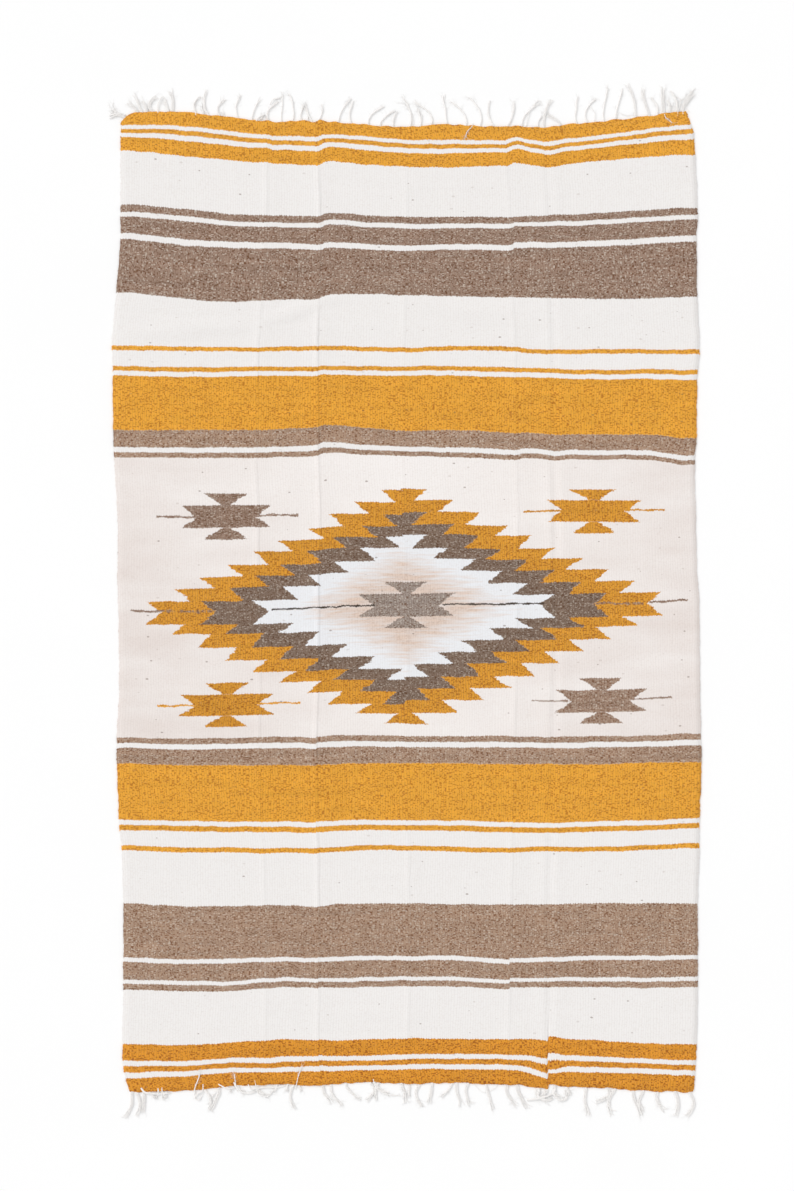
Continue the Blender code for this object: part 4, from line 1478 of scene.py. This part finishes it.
def build_diamond_group(name):
    """Masks of the stepped diamond: its yellow border, its brown border and its white middle."""
    net = GroupNet(name, PLACE, ("Yellow", "Brown", "White"))
    across = net.minus(net.given["Across"], DIAMOND_ACROSS)
    along = net.minus(net.given["Along"], DIAMOND_ALONG)
    side = net.size(across)
    above, right = net.is_more(along, 0.0), net.is_more(across, 0.0)
    left_rows = row_count_at(net, along, "left_end")
    right_rows = row_count_at(net, along, "right_end")
    rows = net.scaled(net.minus(right_rows, left_rows), right, left_rows)
    row, part = net.whole(rows), net.fraction(rows)
    side = net.minus(side, row_shift_at(net, row, above, right))
    masks = []
    for border in BORDERS:
        edge = net.scaled(part, SLANT, net.scaled(row, -STEP_IN, border.reach))
        masks.append(net.times(net.below(side, edge, FIGURE_EDGE), net.is_less(row, border.rows - 0.5)))
    net.give("Yellow", net.minus(masks[0], masks[1], clamp=True))
    net.give("Brown", net.minus(masks[1], masks[2], clamp=True))
    net.give("White", masks[2])


def build_motif_group(name):
    """Mask of one small stepped motif: a box with notched sides and a bow above and below it."""
    bow = {"Bow height": 24.0, "Bow neck": 8.0, "Bow tip": 44.0}
    inputs = {**PLACE, "Notch": 60.0, "Tip": 90.0, "Box half": 22.0, **bow}
    net = GroupNet(name, inputs, ("Mask",))
    across, along, notch, tip, box_half, bow_height, bow_neck, bow_tip = net.given[:8]
    side, level = net.size(across), net.size(along)
    box_edge = net.scaled(net.over(level, box_half), net.minus(tip, notch), notch)
    box = net.times(net.below(side, box_edge, FIGURE_EDGE), net.below(level, box_half, PICK_EDGE))
    above = net.minus(level, box_half)
    bow_edge = net.scaled(net.over(above, bow_height), net.minus(bow_tip, bow_neck), bow_neck)
    outside = net.below(0.0, above, PICK_EDGE)
    bow = net.times(net.below(side, bow_edge, FIGURE_EDGE), net.below(above, bow_height, PICK_EDGE), outside)
    net.give("Mask", net.larger(box, bow))


GROUP_BUILDERS = {
    "weft-faced weave": build_weave_group,
    "heathered yarn": build_heather_group,
    "neps": build_nep_group,
    "stripes": build_stripe_group,
    "stepped diamond": build_diamond_group,
    "stepped motif": build_motif_group,
}


def finish(name, build, settings):
    """The material of this name, made with its node groups if it isn't there yet."""
    if name in bpy.data.materials:
        return bpy.data.materials[name]
    for group_name, builder in GROUP_BUILDERS.items():
        if group_name not in bpy.data.node_groups:
            builder(group_name)
    material = bpy.data.materials.new(name)
    material.use_nodes = True
    material.node_tree.nodes.clear()
    net = Net(material.node_tree)
    shader, output = net.node("BsdfPrincipled"), net.node("OutputMaterial")
    net.feed(output.inputs["Surface"], shader.outputs[0])
    for label, value in build(net, settings).items():
        net.feed(shader.inputs[label], value)
    return material


def map_places(net, map_name):
    """Across and along of a UV map, in millimetres."""
    node = net.node("UVMap", uv_map=map_name)
    parts = net.split(node.outputs[0], "SeparateXYZ")
    return net.times(parts[0], 1.0 / MM), net.times(parts[1], 1.0 / MM)


def raised(net, height, strength, distance):
    """Surface direction of a relief."""
    node = net.node("Bump")
    for label, value in (("Height", height), ("Strength", strength), ("Distance", distance)):
        net.feed(node.inputs[label], value)
    return node.outputs[0]


def line_mask(net, across, along, line, dotted):
    """Mask of a single pick of another colour."""
    wave = net.noise(across, along, "pick wave", line.start * LINE_WAVE_START)
    level = net.swayed(net.minus(along, line.along), wave, LINE_SWAY)
    thick = net.noise(across, along, "pick girth", line.end * LINE_GIRTH_START)
    near = net.below(net.size(level), net.times(thick, line.half_thick * 2), LINE_EDGE)
    middle, reach = (line.start + line.end) / 2, (line.end - line.start) / 2
    mask = net.times(near, net.below(net.size(net.minus(across, middle)), reach, LINE_END_EDGE))
    if not dotted:
        return mask
    return net.times(mask, net.below(DOT_LIMIT, net.noise(across, along, "dots"), DOT_EDGE), DOT_COVER)


def fleck_strength(net, base):
    """How strongly a base colour is flecked: fully where it is dyed, and hardly at all in undyed wool."""
    strength = net.scaled(net.split(base)["Green"], FLECK_SLOPE, FLECK_START, clamp=True)
    return net.larger(strength, FLECK_LEAST)


def heathered(net, across, along, base, strength):
    """A base colour with its yarn's flecks, this strong."""
    return net.group("heathered yarn", Across=across, Along=along, Base=base, Strength=strength)["Color"]


def between(first, second, share):
    """A colour this far on the way from the first to the second."""
    return tuple(start + (end - start) * share for start, end in zip(first, second))


def dyed_yarns(settings):
    """Base colour of each yarn that the tables name."""
    return {
        "yellow": settings.yellow,
        "deep yellow": between(settings.yellow, linear(176, 108, 20), 0.25),
        "old yellow": between(settings.yellow, linear(172, 108, 20), 0.34),
        "dull yellow": between(settings.yellow, linear(200, 104, 0), 0.31),
        "brown": settings.brown,
        "deep brown": between(settings.brown, linear(96, 76, 62), 0.10),
        "diamond brown": between(settings.brown, linear(92, 80, 68), 0.48),
        "dusty brown": between(settings.brown, settings.warm_brown, 0.40),
        "warm brown": settings.warm_brown,
        "grey": settings.grey,
        "dark": linear(66, 58, 50),
    }


def field_colour(net, across, along, settings):
    """Colour of the field round the diamond: cream, a little pinker and darker towards its foot and sides."""
    slope = net.scaled(net.size(across), PINK_ASIDE, net.scaled(along, -PINK_DOWN, PINK_START))
    drift = net.noise(across, along, "drift")
    share = net.times(slope, net.times(drift, 2.0), clamp=True)
    return net.mix(net.times(share, PINK_SHARE), tuple(settings.field), linear(*PINK_FIELD))


def diamond_middle(net, across, along):
    """Colour inside the diamond: bluish white, and a beige pink round the grey motif."""
    side = net.size(net.minus(across, DIAMOND_ACROSS))
    level = net.size(net.minus(along, DIAMOND_ALONG))
    distance = net.scaled(side, 1 / BEIGE_ACROSS, net.times(level, 1 / BEIGE_ALONG))
    streaks = net.noise(across, along, "streaks")
    distance = net.scaled(net.minus(streaks, 0.5), BEIGE_STREAKS, distance)
    patches = net.scaled(net.noise(across, along, "patches"), *BEIGE_PATCHES, clamp=True)
    share = net.times(net.below(distance, BEIGE_LIMIT, BEIGE_EDGE), patches)
    warm = net.mix(streaks, linear(*BEIGE_WARM), linear(*BEIGE_COOL))
    return net.mix(share, linear(*BLUISH_WHITE), warm)


def patterned(net, across, along, woven_across, woven_along, settings):
    """Colour of the weft from place to place, and a mask of the stripes."""
    yarns = dyed_yarns(settings)
    in_field = net.size(net.minus(along, (FIELD_FROM + FIELD_TO) / 2))
    in_field = net.below(in_field, (FIELD_TO - FIELD_FROM) / 2 + FIELD_MARGIN, FIELD_EDGE)
    colour = net.mix(in_field, tuple(settings.white), field_colour(net, across, along, settings))
    striped = 0.0
    for output in net.group("stripes", Along=woven_along):
        colour = net.mix(output, colour, yarns[output.name.lower()])
        striped = net.larger(striped, output)
    diamond = net.group("stepped diamond", Across=woven_across, Along=woven_along)
    colour = net.mix(diamond["Yellow"], colour, yarns["deep yellow"])
    colour = net.mix(diamond["Brown"], colour, yarns["diamond brown"])
    colour = net.mix(diamond["White"], colour, diamond_middle(net, across, along))
    for motif in MOTIFS:
        sizes = {label.capitalize(): getattr(motif, label) for label in Motif._fields[3:]}
        aside, ahead = net.minus(woven_across, motif.across), net.minus(woven_along, motif.along)
        mask = net.group("stepped motif", Across=aside, Along=ahead, **sizes)["Mask"]
        colour = net.mix(mask, colour, yarns[motif.colour])
    for line in LINES + DOTTED_LINES:
        mask = line_mask(net, across, woven_along, line, line in DOTTED_LINES)
        colour = net.mix(mask, colour, yarns[line.colour])
    return colour, striped


def woven_wool(net, settings):
    """The cloth's finish: striped weft-faced wool, with its diamond, motifs, heather and ribs."""
    across, along = map_places(net, CUT_MAP)
    pitches = {"Rib_pitch": settings.rib_pitch / MM, "Pick_pitch": settings.pick_pitch / MM}
    weave = net.group("weft-faced weave", Across=across, Along=along, **pitches)
    stitch_across, stitch_along = weave["Stitch across"], weave["Stitch along"]
    woven_along = net.swayed(along, net.noise(across, along, "edge wave"), EDGE_WAVE)
    woven_along = net.minus(net.scaled(weave["Tooth"], TOOTH_LENGTH, woven_along), TOOTH_MIDDLE)
    woven_across = net.swayed(across, net.noise(across, stitch_along, "edge jitter"), EDGE_JITTER)
    woven_across = net.swayed(woven_across, net.noise(across, along, "edge bow"), EDGE_BOW)
    colour, striped = patterned(net, across, along, woven_across, woven_along, settings)

    strength = fleck_strength(net, colour)
    ribbed = net.minus(strength, striped, clamp=True)
    calm = net.scaled(ribbed, -CALMER_FIGURES, strength)
    colour = heathered(net, stitch_across, stitch_along, colour, calm)
    for nep in NEPS:
        size = {"Cell": nep.cell, "Radius": nep.radius, "Share": nep.share}
        mask = net.group("neps", Across=across, Along=along, **size)[0]
        colour = net.mix(net.times(mask, nep.cover), colour, linear(*nep.colour))
    # Painted shade: the base colour darkens towards the groove colour in the grooves between the ribs
    groove = net.minus(1.0, weave["Rib"])
    depth = net.scaled(ribbed, FIGURE_GROOVE_SHADE, net.scaled(striped, STRIPE_GROOVE_SHADE, PLAIN_GROOVE_SHADE))
    fuzz = net.noise(across, along, "fuzz")
    return {
        "Base Color": net.mix(net.times(groove, depth), colour, linear(*WOOL_GROOVE_SHADE)),
        "Roughness": net.scaled(fuzz, *WOOL_ROUGHNESS, clamp=True),
        "Normal": raised(net, net.scaled(fuzz, FUZZ_RELIEF, weave["Height"]), *WOOL_BUMP),
        "Specular IOR Level": 0.2,
        "Sheen Weight": 0.08,
        "Sheen Roughness": 0.6,
    }


def warp_cotton(net, settings):
    """The fringe's finish: off-white cotton plies, twisted, with painted shade that greys the grooves of the
    twist.
    """
    around, along = map_places(net, YARN_MAP)
    turns = net.scaled(around, MM, net.times(along, 1 / STRAND_TWIST))
    part = net.scaled(net.fraction(turns), 2.0, -1.0)
    groove = net.times(part, part)
    parts = net.split(net.node("TexCoord").outputs["Object"], "SeparateXYZ")
    x, y = net.times(parts[0], 1 / MM), net.times(parts[1], 1 / MM)
    colour = heathered(net, x, y, tuple(settings.fringe), FLECK_LEAST)
    return {
        # Painted shade: the base colour greys towards the groove colour in the grooves of the twist
        "Base Color": net.mix(net.times(groove, COTTON_SHADE_SHARE), colour, linear(*COTTON_GROOVE_SHADE)),
        "Roughness": net.scaled(groove, *COTTON_ROUGHNESS),
        "Normal": raised(net, net.minus(1.0, groove), *COTTON_BUMP),
        "Specular IOR Level": 0.25,
        "Sheen Weight": 0.1,
    }


def studio_paper(net, settings):
    """The floor's finish: white background paper with a very faint grain."""
    parts = net.split(net.node("TexCoord").outputs["Object"], "SeparateXYZ")
    grain = net.noise(parts[0], parts[1], "paper grain")
    return {
        "Base Color": net.mix(grain, linear(*PAPER_GREY), linear(*PAPER_WHITE)),
        "Roughness": net.scaled(grain, *PAPER_ROUGHNESS),
        "Specular IOR Level": 0.1,
    }


# Name and maker of the finish of each material slot
FINISHES = {
    "woven_wool": ("woven wool", woven_wool),
    "cotton_warp": ("warp cotton", warp_cotton),
}


class BLANKET_OT_add_cloth(bpy.types.Operator):
    """Weave the cloth panel over its table of weft lines, folds and wrinkles."""

    bl_idname = "blanket.add_cloth"
    bl_label = "Add Cloth"

    def execute(self, context):
        piece = make_cloth(context.scene.blanket)
        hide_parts("woven_cloth")
        return {"FINISHED"}


class BLANKET_OT_add_turns(bpy.types.Operator):
    """Add the yarn that turns at the selvedges and the last pick at each end."""

    bl_idname = "blanket.add_turns"
    bl_label = "Add Yarn Turns"

    def execute(self, context):
        rng = random.Random(context.scene.blanket.seed)
        make_selvedge_turns(context.scene.blanket, rng)
        make_end_picks(context.scene.blanket)
        return {"FINISHED"}


class BLANKET_OT_add_fringe(bpy.types.Operator):
    """Add the loose warp ends at the head and at the foot."""

    bl_idname = "blanket.add_fringe"
    bl_label = "Add Fringe"

    def execute(self, context):
        settings = context.scene.blanket
        rng = random.Random(context.scene.blanket.seed + 1)
        make_fringe("head_warp_ends", "head_fringe", HEAD_STRANDS, HEAD_THREADS, 1, settings, rng)
        make_fringe("foot_warp_ends", "foot_fringe", FOOT_STRANDS, FOOT_THREADS, -1, settings, rng)
        return {"FINISHED"}


class BLANKET_OT_declare_sheet(bpy.types.Operator):
    """Does nothing: the size of the cloth is not stated here."""

    bl_idname = "blanket.declare_sheet"
    bl_label = "Declare Sheet"

    def execute(self, context):
        return {"FINISHED"}


class BLANKET_OT_add_stage(bpy.types.Operator):
    """Lay the floor, and set the lights and the camera that looks straight down."""

    bl_idname = "blanket.add_stage"
    bl_label = "Add Stage"

    def execute(self, context):
        studio = context.scene.blanket_studio
        bpy.ops.object.select_all(action="DESELECT")
        bpy.ops.mesh.primitive_plane_add(size=studio.floor_size, location=(0, 0, FLOOR_LEVEL))
        floor = context.active_object
        floor.name = "studio_floor"
        floor.data.materials.append(finish("studio paper", studio_paper, studio))
        bpy.ops.object.light_add(type="SUN", location=KEY_PLACE)
        key = context.active_object
        key.name = "soft_key"
        key.data.energy = studio.key
        key.data.angle = KEY_SPREAD
        down = Vector((0, 0, -math.sin(studio.key_angle)))
        aim = Vector(KEY_HEADING) * math.cos(studio.key_angle) + down
        key.rotation_euler = aim.to_track_quat("-Z", "Y").to_euler()
        world = bpy.data.worlds.new("soft fill")
        context.scene.world = world
        world.use_nodes = True
        background = world.node_tree.nodes["Background"].inputs
        background["Color"].default_value = (1.0, 1.0, 1.0, 1.0)
        background["Strength"].default_value = studio.fill
        bpy.ops.object.camera_add(location=(*VIEW_CENTRE, CAMERA_HEIGHT), rotation=(0, 0, 0))
        camera = context.active_object
        camera.name = "overhead_camera"
        camera.data.sensor_width = SENSOR
        camera.data.lens = SENSOR * CAMERA_HEIGHT / VIEW_HEIGHT
        context.scene.camera = camera
        context.scene.view_settings.view_transform = "Standard"
        return {"FINISHED"}


class BLANKET_PT_panel(bpy.types.Panel):
    """Lists the blanket's settings and the steps that make it."""

    bl_idname = "BLANKET_PT_panel"
    bl_label = "Handwoven Blanket"
    bl_space_type = "VIEW_3D"
    bl_region_type = "UI"
    bl_category = "Blanket"

    def draw(self, context):
        for group in (context.scene.blanket, context.scene.blanket_studio):
            column = self.layout.column()
            for name in group.__annotations__:
                column.prop(group, name)
        for operator in OPERATORS:
            self.layout.operator(operator.bl_idname)


OPERATORS = (
    BLANKET_OT_add_cloth,
    BLANKET_OT_add_turns,
    BLANKET_OT_add_fringe,
    BLANKET_OT_declare_sheet,
    BLANKET_OT_add_stage,
)
CLASSES = (BlanketSettings, StudioSettings) + OPERATORS + (BLANKET_PT_panel,)


def register():
    """Register the classes and the two groups of settings."""
    for cls in CLASSES:
        bpy.utils.register_class(cls)
    bpy.types.Scene.blanket = PointerProperty(type=BlanketSettings)
    bpy.types.Scene.blanket_studio = PointerProperty(type=StudioSettings)


def unregister():
    """Take the settings and the classes away again."""
    del bpy.types.Scene.blanket_studio
    del bpy.types.Scene.blanket
    for cls in reversed(CLASSES):
        bpy.utils.unregister_class(cls)


def main():
    """Make every piece in turn."""
    register()
    bpy.ops.blanket.add_cloth()
    bpy.ops.blanket.add_turns()
    bpy.ops.blanket.add_fringe()
    bpy.ops.blanket.declare_sheet()
    bpy.ops.blanket.add_stage()


if __name__ == "__main__":
    main()
